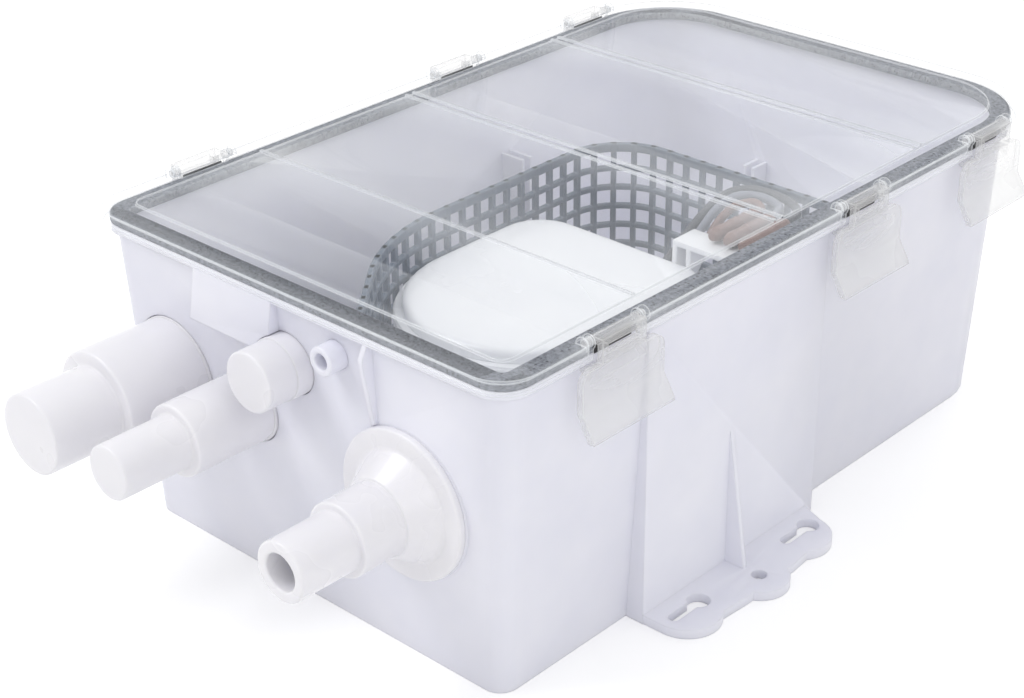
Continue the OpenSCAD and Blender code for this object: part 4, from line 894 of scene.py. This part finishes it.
def clampTree():
    tree, into, out = newTree("clampRibs",
        [("Count", "NodeSocketInt", 44), ("Radius", "NodeSocketFloat", 0.0135),
         ("Size", "NodeSocketVector", (0.0007, 0.0003, 0.0046)), ("Material", "NodeSocketMaterial", None)])
    circle = tree.nodes.new("GeometryNodeCurvePrimitiveCircle")
    link(tree, into.outputs["Radius"], circle.inputs["Radius"])
    spots = tree.nodes.new("GeometryNodeCurveToPoints")
    link(tree, circle.outputs[0], spots.inputs["Curve"])
    link(tree, into.outputs["Count"], spots.inputs["Count"])
    flat = tree.nodes.new("FunctionNodeAlignRotationToVector")
    flat.axis = "X"
    link(tree, spots.outputs["Tangent"], flat.inputs["Vector"])
    rib = tree.nodes.new("GeometryNodeMeshCube")
    link(tree, into.outputs["Size"], rib.inputs["Size"])
    ribs = tree.nodes.new("GeometryNodeInstanceOnPoints")
    link(tree, spots.outputs["Points"], ribs.inputs["Points"])
    link(tree, rib.outputs[0], ribs.inputs["Instance"])
    link(tree, flat.outputs[0], ribs.inputs["Rotation"])
    places = tree.nodes.new("GeometryNodeInstanceOnPoints")
    link(tree, into.outputs["Geometry"], places.inputs["Points"])
    link(tree, ribs.outputs[0], places.inputs["Instance"])
    stand = tree.nodes.new("FunctionNodeEulerToRotation")
    stand.inputs[0].default_value = (math.pi / 2, 0.0, 0.0)
    link(tree, stand.outputs[0], places.inputs["Rotation"])
    real = tree.nodes.new("GeometryNodeRealizeInstances")
    paint = tree.nodes.new("GeometryNodeSetMaterial")
    link(tree, places.outputs[0], real.inputs[0])
    link(tree, real.outputs[0], paint.inputs["Geometry"])
    link(tree, into.outputs["Material"], paint.inputs["Material"])
    link(tree, paint.outputs[0], out.inputs["Geometry"])
    return tree


def makeClampRibs(v):
    low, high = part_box("hose_clamps")
    x, z = v["x"] * mm, high[2] - v["radius"] * mm
    half = v["bandWidth"] / 2 * mm
    bm = bmesh.new()
    for y in (low[1] + half, high[1] - half):
        bm.verts.new((x, y, z))
    mesh = bpy.data.meshes.new("clampPlaces")
    bm.to_mesh(mesh)
    bm.free()
    places = bpy.data.objects.new("clampPlaces", mesh)
    bpy.context.scene.collection.objects.link(places)
    made = runTree(clampTree(), places, {"Count": v["count"], "Radius": v["radius"] * mm,
        "Size": (v["wide"] * mm, v["thick"] * mm, v["length"] * mm), "Material": finish["steel"]})
    addPiece("clampRibs", made, "hose_clamps")


makeClampRibs(clampValues)
print("clamp ribs made")


# floor, world and lamps


def showsToEye(tree):
    # 1 for rays that see the background: straight, in gloss or through clear plastic
    path = tree.nodes.new("ShaderNodeLightPath")
    seen = mathNode(tree, "MAXIMUM", path.outputs["Is Camera Ray"], path.outputs["Is Glossy Ray"])
    return mathNode(tree, "MAXIMUM", seen, path.outputs["Is Transmission Ray"])


def makeFloor(size=6.0, drop=0.02 * mm, shine=0.26):
    mesh = bpy.data.meshes.new("floor")
    corners = [(x * size, y * size, -drop) for x, y in ((-1, -1), (1, -1), (1, 1), (-1, 1))]
    mesh.from_pydata(corners, [], [(0, 1, 2, 3)])
    floor = bpy.data.objects.new("floor", mesh)
    bpy.context.scene.collection.objects.link(floor)
    made, tree, shader = startMaterial("floorPale")
    shader.inputs["Base Color"].default_value = (0.86, 0.86, 0.86, 1)
    shader.inputs["Roughness"].default_value = 0.9
    shader.inputs["Specular IOR Level"].default_value = 0.0
    glow = tree.nodes.new("ShaderNodeEmission")
    link(tree, mathNode(tree, "MULTIPLY", showsToEye(tree), shine), glow.inputs["Strength"])
    both = tree.nodes.new("ShaderNodeAddShader")
    link(tree, shader.outputs[0], both.inputs[0])
    link(tree, glow.outputs[0], both.inputs[1])
    link(tree, both.outputs[0], tree.nodes["Material Output"].inputs["Surface"])
    mesh.materials.append(made)


def makeWorld(level):
    world = bpy.data.worlds.new("studio")
    bpy.context.scene.world = world
    world.use_nodes = True
    tree = world.node_tree
    back = tree.nodes["Background"]
    back.inputs["Color"].default_value = (1.0, 1.0, 1.0, 1.0)
    link(tree, rangeNode(tree, showsToEye(tree), 0.0, 1.0, level, 1.0), back.inputs["Strength"])


worldLevel = 0.8
lampAim = (0, 0, 0.05)
lampValues = {
    "key": {"place": (-0.9, -0.9, 1.7), "size": 1.1, "power": 13.0},
    "fill": {"place": (1.6, -0.6, 1.0), "size": 1.4, "power": 4.5},
    "rear": {"place": (-0.2, 1.5, 1.3), "size": 1.2, "power": 5.0},
}


def makeLamp(name, v):
    data = bpy.data.lights.new(name, "AREA")
    data.shape, data.size, data.energy = "DISK", v["size"], v["power"]
    lamp = bpy.data.objects.new(name, data)
    bpy.context.scene.collection.objects.link(lamp)
    lamp.location = v["place"]
    lamp.rotation_euler = (Vector(lampAim) - Vector(v["place"])).to_track_quat("-Z", "Y").to_euler()


makeFloor()
makeWorld(worldLevel)
for name, values in lampValues.items():
    makeLamp(name, values)
print("studio set")
